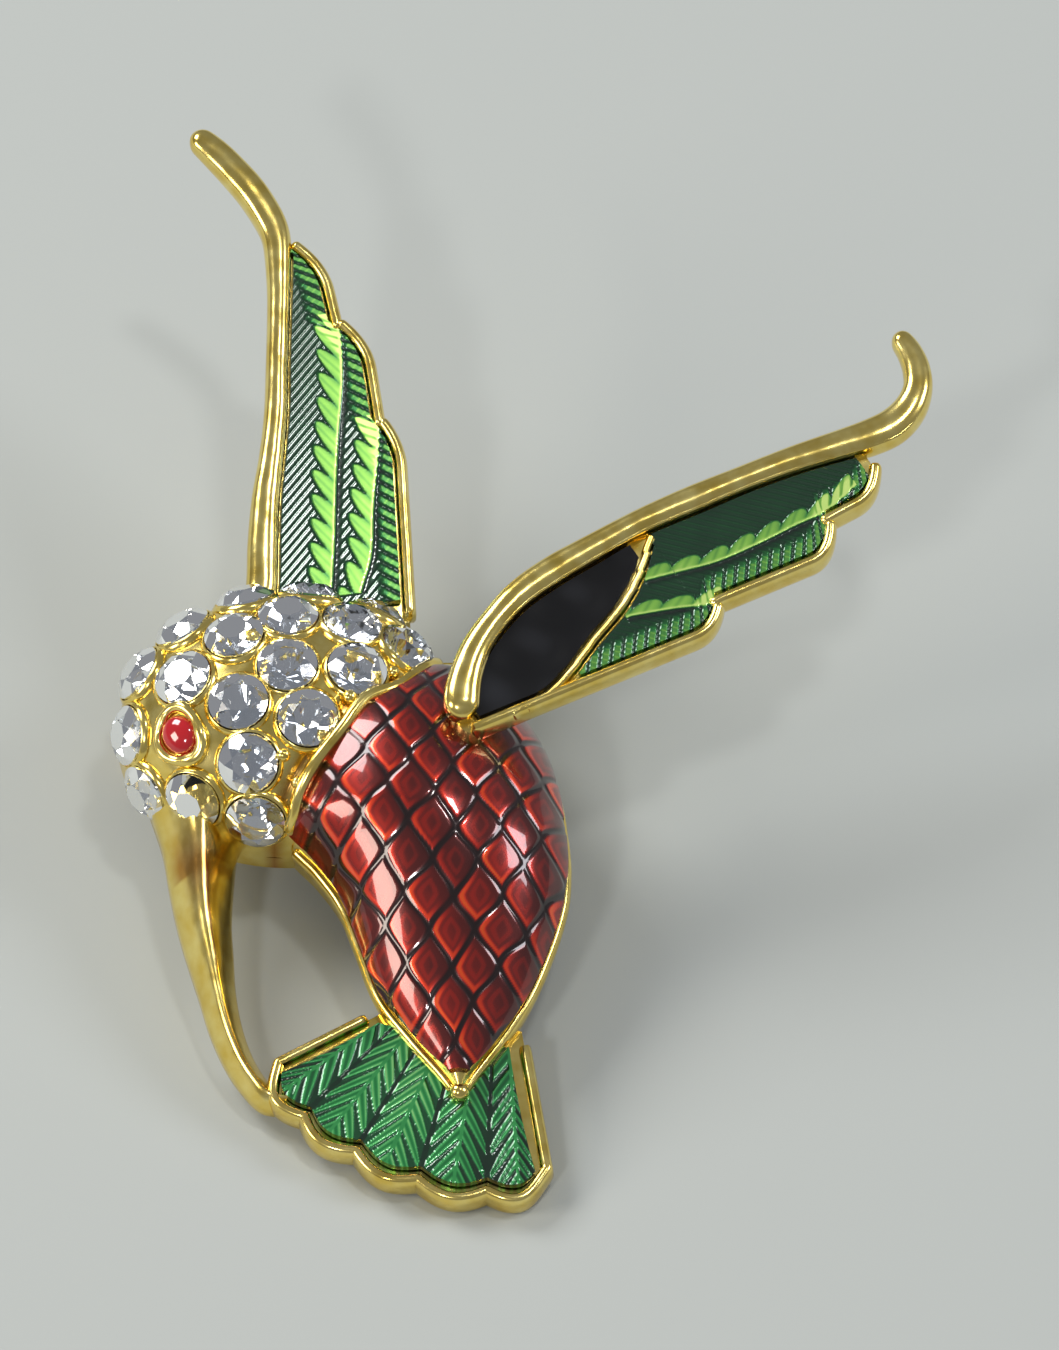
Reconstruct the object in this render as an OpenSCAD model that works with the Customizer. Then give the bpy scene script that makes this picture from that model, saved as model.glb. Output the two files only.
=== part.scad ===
// Hummingbird brooch: a gold-plated casting with a stone-set head, a long curved
// beak that meets the tail, a domed breast under red enamel, a green fan tail and
// two raised wings with green and black enamel. A plain bar pin is fixed behind.
//
// The bird is drawn flat on its back plane: x to the viewer's right, y up the bird,
// z out of the back plane. At the end it is leaned back about x, so that it rests
// on the pin and on the lower edge of its tail.

/* [Head] */
// Half length of the head dome, from the face side to the neck
head_half_len = 8.6; // [8:0.1:9.4]
// Half height of the head dome, up the bird
head_half_wid = 7.1; // [6.6:0.1:7.8]
// Rise of the head dome over the back plane
head_rise = 6.7; // [6:0.1:7.6]
// Fullness of the dome: 2 is an ellipse, more is flatter on top with steeper sides
head_fullness = 2.5; // [2.2:0.1:3]
// Place of the middle of the head, to the left of the bird's axis
head_x = -5.55; // [-6:0.05:-5]
// Place of the middle of the head, up the bird
head_y = 0.95; // [0.5:0.05:1.4]
// Thickness of metal left behind the head's hollow
head_wall = 2.3; // [2:0.1:2.8]

/* [Stones] */
// Width of each round stone at its girdle
stone_d = 3; // [2.6:0.1:3.1]
// Share of the stone's width that its flat table takes
table_share = 0.56; // [0.5:0.02:0.64]
// Height of the crown, from girdle to table
crown_h = 0.5; // [0.35:0.05:0.6]
// Depth of the pointed pavilion under the girdle
pavilion_h = 1.25; // [1:0.05:1.5]
// Thickness of the girdle
girdle_t = 0.15; // [0.1:0.01:0.2]
// Height of the girdle's lower edge over the dome
stone_proud = 0.05; // [0:0.01:0.12]

/* [Eye] */
// Width of the red eye
eye_w = 1.8; // [1.5:0.1:2.1]
// Thickness of the ring round the eye
eye_ring_t = 0.5; // [0.35:0.05:0.7]

/* [Beak] */
// Length of the beak along y, from the middle of the head
beak_len = 20.6; // [19.8:0.1:21.2]
// Width of the beak where it leaves the face
beak_w = 3.6; // [3:0.1:4.2]
// Height of the beak's ridge where it leaves the face
beak_h = 3.4; // [2.8:0.1:4]

/* [Body] */
// Length of the body, from the shoulder to the point over the tail
body_len = 23.5; // [22.5:0.1:24.5]
// Width of the body where it is widest
body_w = 13.8; // [13:0.1:14.6]
// Rise of the body's crown over the back plane
body_rise = 6.9; // [6.3:0.1:7.5]
// Height of the plain side wall under the enamel
body_side = 1.1; // [0.8:0.1:1.5]
// Thickness of metal left over the body's hollow
body_wall = 1.4; // [1.1:0.1:1.8]
// Thickness of the gold line round the breast
body_rim_t = 0.55; // [0.45:0.05:0.7]
// Thickness of the gold collar between head and breast
collar_t = 0.75; // [0.6:0.05:0.95]

/* [Tail] */
// Number of feathers in the tail fan
tail_feathers = 5; // [4:1:6]
// How far each tail feather's tip bulges past the notches
tail_scallop = 0.55; // [0.3:0.05:0.8]
// Thickness of the tail
tail_t = 1; // [0.9:0.05:1.3]
// Thickness of the gold rim round the tail
tail_rim_t = 0.6; // [0.5:0.05:0.8]

/* [Right wing] */
// Length of the right wing, from its root to its horn
right_len = 30; // [28:0.2:32]
// Width that the right wing's shares are taken of
right_wid = 7.5; // [7:0.1:8]
// Turn of the right wing from the x axis
right_turn = 33; // [30:1:36]
// Height of the right wing's root over the back plane
right_root = 8; // [7.8:0.1:8.6]
// How much higher the right wing's horn is than its root
right_climb = 2; // [1:0.1:3]
// Rise across the right wing towards its leading edge, per unit of width
right_bank = 0.08; // [0:0.01:0.14]

/* [Left wing] */
// Length of the left wing, from its root to its horn
left_len = 28; // [26:0.2:30]
// Width that the left wing's shares are taken of
left_wid = 8; // [7.5:0.1:8.5]
// Turn of the left wing from the x axis
left_turn = 101; // [98:1:104]
// Height of the left wing's root over the back plane
left_root = 2.4; // [2.2:0.1:2.9]
// How much higher the left wing's horn is than its root
left_climb = 4.4; // [3.4:0.1:5.2]
// Rise across the left wing towards its leading edge, per unit of width
left_bank = 0.06; // [0:0.01:0.12]

/* [Wing build] */
// Thickness of the metal web under the wing enamel
web_t = 0.8; // [0.6:0.05:1]
// Height of the rounded bar along each leading edge
bar_h = 1.7; // [1.4:0.05:2]
// Thickness of the rim round each wing feather
feather_rim_t = 0.65; // [0.5:0.05:0.8]
// Rise of the feather ridges under the enamel
ridge_rise = 0.25; // [0.1:0.01:0.35]

/* [Enamel] */
// Thickness of the enamel
enamel_t = 0.4; // [0.3:0.05:0.55]
// Clearance between the enamel and the metal
enamel_gap = 0.06; // [0.04:0.01:0.1]

/* [Pin] */
// Length of the bar pin, over its hinge and catch
pin_len = 17; // [15:0.5:18.5]
// Width of the plate that is fixed to the back
pin_plate_w = 2.4; // [2:0.1:3]
// Thickness of that plate
pin_plate_t = 0.8; // [0.6:0.05:1]
// Height of the pin under the back plane
pin_drop = 4.3; // [3.8:0.1:5]
// Outer width of the round hinge and of the round catch
pin_knuckle_d = 2.4; // [2:0.1:2.8]
// Length of the hinge and of the catch along the bar
pin_knuckle_len = 2.2; // [1.8:0.1:2.8]
// Thickness of the pin's stem
pin_stem_d = 0.8; // [0.7:0.05:1]
// Place of the bar up the bird
pin_y = 2.6; // [2:0.1:3.4]
// Place of the middle of the bar
pin_x = -4.5; // [-4.8:0.1:-4.2]
// Clearance between the plate and the back
pin_gap = 0.05; // [0.03:0.01:0.1]

/* [Hidden] */
gold = [0.80, 0.68, 0.33];
red = [0.80, 0.20, 0.08];
green = [0.10, 0.45, 0.22];
black = [0.06, 0.06, 0.07];
clear = [0.86, 0.88, 0.90];
ruby = [0.70, 0.06, 0.10];

// Sides of the rods and of the dome, and steps along them
rod_sides = 8;
dome_sides = 30;
dome_rings = 7;

function stone_name(i) = str("stone_", i < 10 ? "0" : "", i);

// Stones on the head dome. Columns: place along and across the dome, as shares
// of its half length and half width.
seats = [
    [0.12, -0.31], [-0.22, -0.60], [-0.28, -0.18], [0.40, 0.09], [0, 0.10],
    [-0.18, -0.89], [-0.54, -0.73], [-0.82, -0.54], [-0.92, -0.18],
    [-0.60, 0.06], [-0.86, 0.26], [-0.31, 0.37], [0, 0.54], [0.37, 0.51],
    [0.69, 0.38], [-0.61, 0.56], [-0.25, 0.80], [0.12, 0.87], [0.52, 0.80]];

// Place of the eye, as the same shares
eye_seat = [-0.62, -0.35];
// Small gold grains that hold the stones beside the collar, as the same shares
grains = [[0.36, -0.13], [0.61, 0.12], [-0.02, -0.56], [0.06, -0.72]];
grain_d = 0.7;

// The body, from the shoulder down. Columns: place along the body as a share of
// its length; left edge, right edge as shares of half its width; crown as a share
// of its rise.
body_rows = [
    [0.000, 0.02, 0.30, 0.42],
    [0.060, -0.45, 0.55, 0.68],
    [0.140, -0.85, 0.70, 0.87],
    [0.220, -1.02, 0.84, 0.97],
    [0.320, -1.05, 0.94, 1.00],
    [0.400, -1.02, 0.98, 0.99],
    [0.425, -0.97, 0.99, 0.98],
    [0.480, -0.80, 1.00, 0.94],
    [0.560, -0.62, 0.98, 0.86],
    [0.660, -0.49, 0.89, 0.74],
    [0.780, -0.34, 0.73, 0.59],
    [0.880, -0.10, 0.53, 0.46],
    [0.960, 0.12, 0.34, 0.36],
    [1.000, 0.21, 0.26, 0.30]];
// Place of the shoulder up the bird, and of the body's axis
body_top = 3.9;
body_x = 1.4;

// The collar on the head dome, from the neck down. Columns: place along and
// across the dome, as shares of its half length and half width.
collar_rows = [
    [0.86, 0.36], [0.65, 0.02], [0.45, -0.14], [0.31, -0.38], [0.18, -0.58],
    [0.08, -0.76], [0.04, -0.88], [0.01, -0.95]];

// The beak, from the face to its tip. Columns: place along as a share of its
// length; sideways place as a share of the head's half length; width and height
// as shares of the width and height at the face.
beak_rows = [
    [0.22, -0.52, 1.35, 1.25], [0.32, -0.51, 1.05, 1.05], [0.42, -0.50, 0.90, 0.94],
    [0.52, -0.48, 0.76, 0.84], [0.62, -0.44, 0.64, 0.74], [0.71, -0.40, 0.52, 0.66],
    [0.80, -0.35, 0.46, 0.58], [0.88, -0.28, 0.42, 0.52], [0.94, -0.20, 0.40, 0.48],
    [0.99, -0.10, 0.38, 0.44], [1.00, 0.02, 0.36, 0.42]];

// The tail's outer edge, from its left corner to its right. Columns: share of the
// way round; sideways place as a share of the body's width, from the body's axis;
// place down the bird as a share of the body's length, from the shoulder.
tail_edge = [
    [0.00, -0.53, 0.920], [0.10, -0.51, 0.990], [0.22, -0.42, 1.055],
    [0.38, -0.27, 1.120], [0.55, -0.09, 1.180], [0.72, 0.12, 1.215],
    [0.90, 0.33, 1.215], [1.00, 0.43, 1.170]];
// The two ends of the line under the body where the tail starts, as in tail_edge
tail_root = [[-0.17, 0.80], [0.34, 0.84]];

// The wings' leading bars, from the root to where the horn starts. Columns: place
// along the wing as a share of its length; place across it and half width of the
// bar, as shares of its width.
right_bar = [
    [0.010, 0.06, 0.110], [0.030, 0.20, 0.125], [0.060, 0.33, 0.115],
    [0.100, 0.45, 0.105], [0.150, 0.54, 0.100], [0.210, 0.61, 0.105],
    [0.280, 0.63, 0.108], [0.360, 0.62, 0.100], [0.450, 0.60, 0.094],
    [0.540, 0.55, 0.100], [0.630, 0.49, 0.094], [0.720, 0.42, 0.100],
    [0.800, 0.34, 0.110], [0.850, 0.29, 0.120]];
left_bar = [
    [0.030, 0.44, 0.100], [0.100, 0.36, 0.100], [0.180, 0.30, 0.098],
    [0.260, 0.23, 0.090], [0.340, 0.14, 0.080], [0.420, 0.06, 0.076],
    [0.500, 0.00, 0.073], [0.580, -0.06, 0.073], [0.650, -0.11, 0.076],
    [0.720, -0.15, 0.086], [0.760, -0.16, 0.094]];
// The horns beyond the bars, with the same columns
right_horn = [
    [0.895, 0.270, 0.122], [0.935, 0.310, 0.112], [0.966, 0.400, 0.100],
    [0.984, 0.520, 0.094], [0.992, 0.640, 0.086], [0.993, 0.740, 0.076],
    [0.991, 0.820, 0.060]];
left_horn = [
    [0.800, -0.130, 0.100], [0.850, -0.060, 0.102], [0.895, 0.030, 0.100],
    [0.930, 0.110, 0.096], [0.958, 0.185, 0.084], [0.975, 0.235, 0.064]];

// The feathers along each wing's trailing edge, from the root out. Columns: where
// the feather starts along the wing; its edge there; its edge at its far end if it
// ran on straight; all as shares of the wing's length and width.
right_feathers = [
    [0.010, -0.02, -0.330], [0.480, -0.150, -0.300], [0.715, -0.060, -0.090],
    [0.835, 0.12, 0]];
left_feathers = [
    [0.000, -0.52, -0.700], [0.385, -0.575, -0.600], [0.580, -0.430, -0.410],
    [0.740, -0.24, 0]];
// Length over which a feather's tip rounds up to the next notch, as a share of the
// wing's length, and how sharply
right_round = [0.07, 2.2];
left_round = [0.10, 2];

// The ridges that run from the feathers' notches into the wing. Columns: place
// along the wing, place across it, as shares of its length and width.
right_ridges = [
    [[0.41, 0.24], [0.52, 0.11], [0.60, 0.06], [0.715, -0.03]],
    [[0.36, 0.09], [0.42, -0.03], [0.48, -0.13]]];
left_ridges = [
    [[0.10, -0.09], [0.22, -0.18], [0.40, -0.30], [0.58, -0.41]],
    [[0.08, -0.28], [0.20, -0.40], [0.30, -0.50], [0.385, -0.56]]];
// The gold line between black and green on the right wing, with the same columns
divider = [
    [0.085, -0.085], [0.150, -0.100], [0.205, -0.045], [0.270, 0.060],
    [0.340, 0.160], [0.395, 0.290], [0.445, 0.470]];
divider_t = 0.4;
// Half width of a feather ridge, as a share of the wing's width, and the share of
// the wing's length over which it rises
ridge_half = 0.09;
ridge_fade = 0.06;
// Least width of enamel across a wing
least_width = 0.15;
// Share of a wing's length by which a feather's rim starts before its notch
rim_lap = 0.03;

right_wing = [right_len, right_wid, right_turn, right_root, right_climb, right_bank];
left_wing = [left_len, left_wid, left_turn, left_root, left_climb, left_bank];
// Where each wing starts in the plan: the right one over the body, the left one
// behind the head
right_start = [body_x + 0.26 * body_w / 2, body_top - 0.278 * body_len];
left_start = [head_x + 0.227 * head_half_len, head_y + 0.74 * head_half_wid];

// Level of the pedestal's foot inside the body, as a share of the body's rise
foot_level = 0.75;
// The pedestal's three corners, which flare out towards the wing. Columns: place of
// the corner at the foot beside the wing's start, to the right and up the bird; how
// far it has moved at the top, likewise; all as shares of the right wing's width.
stalk_corners = [
    [0.00, -0.06, 0.00, 0.10],
    [0.20, 0.29, 0.29, 0.05],
    [-0.12, 0.29, 0.07, 0.01]];
stalk_round = 0.4;
stalk_slices = 8;
stalk_slice_t = 0.05;
// Height of the bridge that is left across the dished back, under the pin's plate
bridge_h = 1.2;
// Shares of the body's length between which it is dished, and how far under the back
// plane the cut starts
dish_from = 0.08;
dish_to = 0.85;
dish_below = -1;
// Gap under the enamel, twice that at its borders
floor_gap = 2 * enamel_gap;
// Height over its enamel up to which a pocket is cut free
pocket_free = 1;

// Row of a table that holds x, found from column 0
function seg(t, x, i = 0) =
    (i >= len(t) - 2 || x < t[i + 1][0]) ? i : seg(t, x, i + 1);

// Slope of column c at row i
function slope(t, c, i) =
    let (a = max(i - 1, 0), b = min(i + 1, len(t) - 1))
    (t[b][c] - t[a][c]) / (t[b][0] - t[a][0]);

// Cubic through two values p, q with end slopes m, n, at s from 0 to 1
function cubic(p, q, m, n, s) =
    p * (1 + s * s * (2 * s - 3)) + q * s * s * (3 - 2 * s)
    + m * s * (1 - s) * (1 - s) - n * s * s * (1 - s);

// Smooth value of column c at x, through the rows of a table
function follow(t, c, x) =
    let (i = seg(t, x), w = t[i + 1][0] - t[i][0], s = (x - t[i][0]) / w)
    cubic(t[i][c], t[i + 1][c], slope(t, c, i) * w, slope(t, c, i + 1) * w, s);

// Smooth point on a list of points, u from 0 to 1 along it
function glide(pts, u) =
    let (n = len(pts) - 1, i = min(floor(u * n), n - 1), s = u * n - i,
         a = pts[max(i - 1, 0)], b = pts[i], c = pts[i + 1], d = pts[min(i + 2, n)])
    cubic(b, c, (c - a) / 2, (d - b) / 2, s);

function unit(v) = v / norm(v);

// Point moved to the nearest step of a hundredth of a millimetre
function stepped(p) = [for (c = p) round(c * 100) / 100];

// Closed solid between two grids of points of one size, the first on the outside
module sheet(outer, inner) {
    m = len(outer);
    n = len(outer[0]);
    k = m * n;
    points = [for (g = [outer, inner]) for (row = g) for (p = row) stepped(p)];
    skin = [for (i = [0:m - 2]) for (j = [0:n - 2])
        let (a = i * n + j, b = a + 1, c = a + n + 1, d = a + n)
        each [[a, b, c], [a, c, d], [k + a, k + c, k + b], [k + a, k + d, k + c]]];
    edge = concat(
        [for (i = [0:m - 1]) i * n],
        [for (j = [1:n - 1]) (m - 1) * n + j],
        [for (i = [m - 2:-1:0]) i * n + n - 1],
        [for (j = [n - 2:-1:1]) j]);
    wall = [for (i = [0:len(edge) - 1])
        let (a = edge[i], b = edge[(i + 1) % len(edge)])
        each [[a, b, k + b], [a, k + b, k + a]]];
    polyhedron(points, concat(skin, wall));
}

// Closed solid through a list of rings of points, with fanned ends. Each ring runs
// counter-clockwise, seen from the last ring.
module loft(rings) {
    m = len(rings);
    n = len(rings[0]);
    middle = function (ring) [for (c = [0:2]) [for (p = ring) p[c]] * [for (p = ring) 1] / n];
    corners = concat([for (r = rings) each r], [middle(rings[0]), middle(rings[m - 1])]);
    points = [for (p = corners) stepped(p)];
    side = [for (i = [0:m - 2]) for (j = [0:n - 1])
        let (a = i * n + j, b = i * n + (j + 1) % n)
        each [[a, b + n, b], [a, a + n, b + n]]];
    ends = [for (j = [0:n - 1])
        let (b = (j + 1) % n, z = (m - 1) * n)
        each [[j, b, m * n], [z + b, z + j, m * n + 1]]];
    polyhedron(points, concat(side, ends));
}

// Rounded rod along a path. Each path row: point, half width, half height.
module rod(path) {
    last = len(path) - 1;
    loft([for (i = [0:last])
        let (along = unit(path[min(i + 1, last)][0] - path[max(i - 1, 0)][0]),
             across = unit(cross([0, 0, 1], along)),
             up = cross(along, across))
        [for (j = [0:rod_sides - 1])
            let (a = 360 * (j + 0.5) / rod_sides)
            path[i][0] + across * path[i][1] * cos(a) + up * path[i][2] * sin(a)]]);
}

// Level of the head dome at a plan point, with its shape made larger by grow
function head_level(x, y, grow = 0) =
    let (r = norm([(x - head_x) / (head_half_len + grow), (y - head_y) / (head_half_wid + grow)]))
    r >= 1 ? 0 : (head_rise + grow) * pow(1 - pow(r, head_fullness), 1 / head_fullness);

// Point on the head dome from shares of its half length and half width
function on_head(place) =
    let (x = head_x + place[0] * head_half_len, y = head_y + place[1] * head_half_wid)
    [x, y, head_level(x, y)];

// Outward direction of the head dome at such a place
function head_facing(place) =
    let (r = norm(place), n = head_fullness,
         k = head_rise * pow(r, n - 2) * pow(1 - pow(r, n), 1 / n - 1))
    unit([k * place[0] / head_half_len, k * place[1] / head_half_wid, 1]);

// The head's dome, made larger by grow and standing on the level base. Each ring is
// turned by half a side from the one below.
module head_dome(grow, base, sides = dome_sides, rings = dome_rings) {
    a = head_half_len + grow;
    b = head_half_wid + grow;
    loft([for (i = [0:rings])
        let (t = 89 * i / rings, r = pow(cos(t), 2 / head_fullness),
             z = (head_rise + grow) * pow(sin(t), 2 / head_fullness))
        [for (j = [0:sides - 1])
            let (u = 360 * (j - i / 2) / sides)
            [head_x + a * r * cos(u), head_y + b * r * sin(u), i == 0 ? base : z]]]);
}

// Body measures at a share t of its length: place, middle, half width, crown
function body_at(t) =
    let (left = follow(body_rows, 1, t), right = follow(body_rows, 2, t), w = body_w / 2)
    [body_top - t * body_len, body_x + (left + right) / 2 * w, (right - left) / 2 * w,
     follow(body_rows, 3, t) * body_rise];

// Point over the body at share t, at angle a from its crown, raised by grow
function on_body(t, a, grow = 0) =
    let (s = body_at(t))
    [s[1] + (s[2] + grow) * sin(a), s[0],
     body_side + (s[3] - body_side + grow) * cos(a)];

// Angle from the crown at which the body has the sideways place x
function body_angle(t, x) =
    let (s = body_at(t)) asin(max(-1, min(1, (x - s[1]) / s[2])));

body_steps = 20;
body_sides = 14;
// Width of the rounded point where the breast's two gold lines meet over the tail
point_w = body_rim_t * 1.8;

// The body's solid between two shares of its length, made smaller by inset and
// standing on the level base
module body_dome(inset, base, steps = body_steps, sides = body_sides, from = 0, to = 1) {
    loft([for (i = [0:steps])
        let (t = from + (to - from) * i / steps, s = body_at(t), w = max(s[2] - inset, 0.05))
        concat(
            [[s[1] - w, s[0], base], [s[1] + w, s[0], base]],
            [for (j = [0:sides])
                let (a = 90 - 180 * j / sides)
                [s[1] + w * sin(a), s[0],
                 body_side + max(s[3] - body_side - inset, 0.05) * cos(a)]])]);
}

// Left border of the breast enamel at share t: the collar, then the body's edge
collar_end = 0.425;
function collar_x(t) =
    let (y = body_top - t * body_len,
         rows = [for (i = [len(collar_rows) - 1:-1:0])
            [head_y + collar_rows[i][1] * head_half_wid, head_x + collar_rows[i][0] * head_half_len]])
    follow(rows, 1, y);

// Shares of the body's length at which the breast enamel is worked out
breast_rows = concat([for (i = [1:body_steps - 1]) i / body_steps], [0.968]);
breast_sides = 12;

// Point of the breast enamel at the share t of the body and the share u from its
// left border to its right, raised by lift, with the borders moved out by grow
function breast_point(t, u, lift, grow) =
    let (s = body_at(t),
         edge = asin(1 - min(0.5, (body_rim_t / 2 + floor_gap - grow) / s[2])),
         clear_x = collar_x(t) + collar_t / 2 + floor_gap - grow,
         left = t < collar_end ? max(-edge, body_angle(t, clear_x)) : -edge)
    on_body(t, left + (edge - left) * u, lift);

// Solid of the breast enamel, or with a grow the pocket that it lies in
module breast_solid(grow) {
    last = len(breast_rows) - 1;
    face = function (lift) [for (i = [0:last])
        let (t = breast_rows[i] + (i == 0 ? -grow : i == last ? grow : 0) * 2 / body_len)
        [for (j = [0:breast_sides]) breast_point(t, j / breast_sides, lift, grow)]];
    sheet(face(floor_gap + enamel_t + (grow > 0 ? pocket_free : 0)), face(floor_gap - grow));
}

module breast_enamel() {
    color(red) difference() {
        breast_solid(0);
        pedestal(enamel_gap);
        root_slab();
    }
}

// Place in the tail: v is the share of the way round, w the share from root to edge
function tail_base(v, w) =
    let (n = tail_feathers,
         edge = [follow(tail_edge, 1, v), follow(tail_edge, 2, v)],
         root = tail_root[0] + v * (tail_root[1] - tail_root[0]),
         place = root + w * (edge - root))
    [body_x + place[0] * body_w, body_top - place[1] * body_len];

function tail_point(v, w) =
    let (a = tail_base(v, 0), b = tail_base(v, 1),
         bulge = tail_scallop * abs(sin(180 * tail_feathers * v)))
    a + w * (1 + bulge / norm(b - a)) * (b - a);

tail_steps = 25;
tail_rings = 2;

module tail_web() {
    sheet(
        [for (j = [0:tail_rings]) [for (i = [0:tail_steps])
            concat(tail_point(i / tail_steps, j / tail_rings), tail_t)]],
        [for (j = [0:tail_rings]) [for (i = [0:tail_steps])
            concat(tail_point(i / tail_steps, j / tail_rings), 0)]]);
}

// Level of the top of the tail's rim, just over its enamel
tail_top = tail_t + floor_gap + enamel_t;

// The tail's rim: down the left side, round the scallops, up the right side
function tail_rim_path() =
    let (half = tail_rim_t / 2, z = tail_top / 2)
    [for (p = concat(
            [tail_point(0, 0.1)],
            [for (i = [0:tail_steps]) tail_point(i / tail_steps, 1)],
            [tail_point(1, 0.1)]))
        [concat(p, z), half, z]];

// Share from root to edge at which the tail enamel starts, under the body
tail_first = 0.13;
// Share of the way round that it keeps clear at each side: at the root, at the edge
tail_beside = [0.09, 0.03];

// Solid of the tail enamel before the body cuts it, or with a grow its pocket
module tail_solid(grow) {
    inset = tail_rim_t / 2 + floor_gap - grow;
    low = tail_t + floor_gap;
    face = function (z) [for (j = [0:tail_rings]) [for (i = [0:tail_steps])
        let (side = tail_beside[0] + (tail_beside[1] - tail_beside[0]) * j / tail_rings - grow / body_w,
             v = side + (1 - 2 * side) * i / tail_steps,
             full = norm(tail_point(v, 1) - tail_point(v, 0)))
        concat(tail_point(v, tail_first + (1 - inset / full - tail_first) * j / tail_rings), z)]];
    sheet(face(low + enamel_t + (grow > 0 ? pocket_free : 0)), face(low - grow));
}

module tail_enamel() {
    color(green) difference() {
        tail_solid(0);
        body_dome(-body_rim_t / 2 - floor_gap, 0);
        translate(on_body(1, 0) - [0, 0, body_rise])
            cylinder(d = point_w + 4 * floor_gap, h = 2 * body_rise, $fn = 8);
    }
}

// Wing tables hold shares; a wing is [length, width, turn, root, climb, bank]
function wing_level(wing, x, y) = wing[3] + wing[4] * x / wing[0] + wing[5] * y;

// Point on a wing's face, from its own lengths along and across, raised by lift
function on_wing(wing, start, x, y, lift) =
    [start[0] + x * cos(wing[2]) - y * sin(wing[2]),
     start[1] + x * sin(wing[2]) + y * cos(wing[2]),
     wing_level(wing, x, y) + lift];

// Puts what is drawn on a level wing, along x from its root, in the wing's place
module winged(wing, start) {
    multmatrix([
        [cos(wing[2]), -sin(wing[2]), 0, start[0]],
        [sin(wing[2]), cos(wing[2]), 0, start[1]],
        [wing[4] / wing[0], wing[5], 1, wing[3]]])
        children();
}

// Place of the trailing edge across the wing at the share s of its length
function trail(feathers, round_off, s) =
    let (i = seg(feathers, s), a = feathers[i], b = feathers[i + 1],
         line = a[1] + (a[2] - a[1]) * (s - a[0]) / (b[0] - a[0]),
         near = max(0, 1 - (b[0] - s) / round_off[0]))
    line + (b[1] - a[2]) * pow(near, round_off[1]);

// Rise of the feather ridges at a place on a wing, from its shares
function ridge_at(ridges, s, c) =
    max(concat([0], [for (r = ridges)
        if (s > r[0][0] && s < r[len(r) - 1][0])
            ridge_rise * min(1, (s - r[0][0]) / ridge_fade)
                * max(0, 1 - abs(c - follow(r, 1, s)) / ridge_half)]));

wing_steps = 18;
wing_rings = 6;

// Shares along a wing at which its face is worked out, with each notch among them
function stations(feathers, first, last) =
    let (inner = [for (i = [1:len(feathers) - 2]) feathers[i][0]])
    [for (i = [0:wing_steps])
        let (s = first + (last - first) * i / wing_steps, step = (last - first) / wing_steps,
             near = [for (n = inner) if (abs(n - s) < step / 2) n])
        len(near) > 0 ? near[0] : s];

// Lengths across a wing at which its face is worked out, from one border to another
function across(low, high, rings) =
    let (top = max(high, low + least_width))
    [for (j = [0:rings]) low + (top - low) * j / rings];

// Face of a wing as a grid of points: one row for each share along it, through the
// lengths across it that the function gives, with the ridges on it
function wing_face(wing, shares, places, ridges, lift) =
    [for (s = shares) [for (y = places(s))
        [s * wing[0], y, lift + ridge_at(ridges, s, y / wing[1])]]];

// Grid of points on a level wing, moved to the wing's place where a start is given
function laid(wing, start, grid) =
    start == undef ? grid
        : [for (row = grid) [for (p = row) on_wing(wing, start, p[0], p[1], p[2])]];

// Enamel between two borders given as functions of the share along the wing, or
// with a grow the pocket that it lies in
module wing_solid(wing, start, shares, low, high, ridges, rings, grow) {
    last = len(shares) - 1;
    moved = [for (i = [0:last])
        shares[i] + (i == 0 ? -grow : i == last ? grow : 0) * 2 / wing[0]];
    places = function (s) across(low(s) - grow, high(s) + grow, rings);
    sheet(
        laid(wing, start, wing_face(wing, moved, places, ridges, grow > 0 ? pocket_free : 0)),
        laid(wing, start, wing_face(wing, moved, places, ridges, -enamel_t - grow)));
}

// Depth of the metal web's upper side under the enamel's face
web_level = -enamel_t - floor_gap;
// Middle and half height of the rims, which cover the web's edge, and middle of the bars
rim_proud = 0.15;
rim_half = (rim_proud - web_level + web_t) / 2;
rim_level = rim_proud - rim_half;
bar_level = -bar_h * 0.2;
// Share of the bar's height left at the tip of the horn
horn_slim = 0.72;

// Web under a wing's enamel: its rows run from the trailing edge through those of
// the enamel to the bar
module wing_web(wing, shares, edge, low, high, lead, ridges) {
    places = function (s) concat([edge(s)], across(low(s), high(s), wing_rings), [lead(s)]);
    sheet(
        wing_face(wing, shares, places, ridges, web_level),
        wing_face(wing, shares, places, [], web_level - web_t));
}

// Bar, horn and feather rims of a wing
module wing_rods(wing, bar, horn, feathers, round_off) {
    path = concat(bar, horn);
    steps = 27;
    rows = [for (i = [0:steps])
        let (r = glide(path, i / steps), slim = min(1, horn_slim + 1.2 * (1 - i / steps)))
        [[r[0] * wing[0], r[1] * wing[1], bar_level],
         r[2] * wing[1], bar_h / 2 * slim]];
    tip = rows[steps];
    along = unit(tip[0] - rows[steps - 1][0]);
    rod(concat(rows, [for (a = [40, 75])
        [tip[0] + along * tip[1] * sin(a), tip[1] * cos(a), tip[2] * cos(a)]]));
    for (i = [0:len(feathers) - 2]) {
        from = i == 0 ? feathers[0][0] : feathers[i][0] - rim_lap;
        to = feathers[i + 1][0];
        rim_steps = 10;
        rod([for (k = [0:rim_steps])
            let (s = from + (to - from) * (1 - pow(1 - k / rim_steps, 1.6)),
                 c = s < feathers[i][0] ? feathers[i][1]
                     : trail(feathers, round_off, min(s, to - 0.0005)))
            [[s * wing[0], c * wing[1], rim_level],
             feather_rim_t / 2, rim_half]]);
    }
}

// Borders of the enamel in a wing, kept clear of its bar and its rims
enamel_edge = feather_rim_t / 2 + floor_gap;
divider_edge = (divider_t / 2 + floor_gap) * 1.3;

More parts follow.
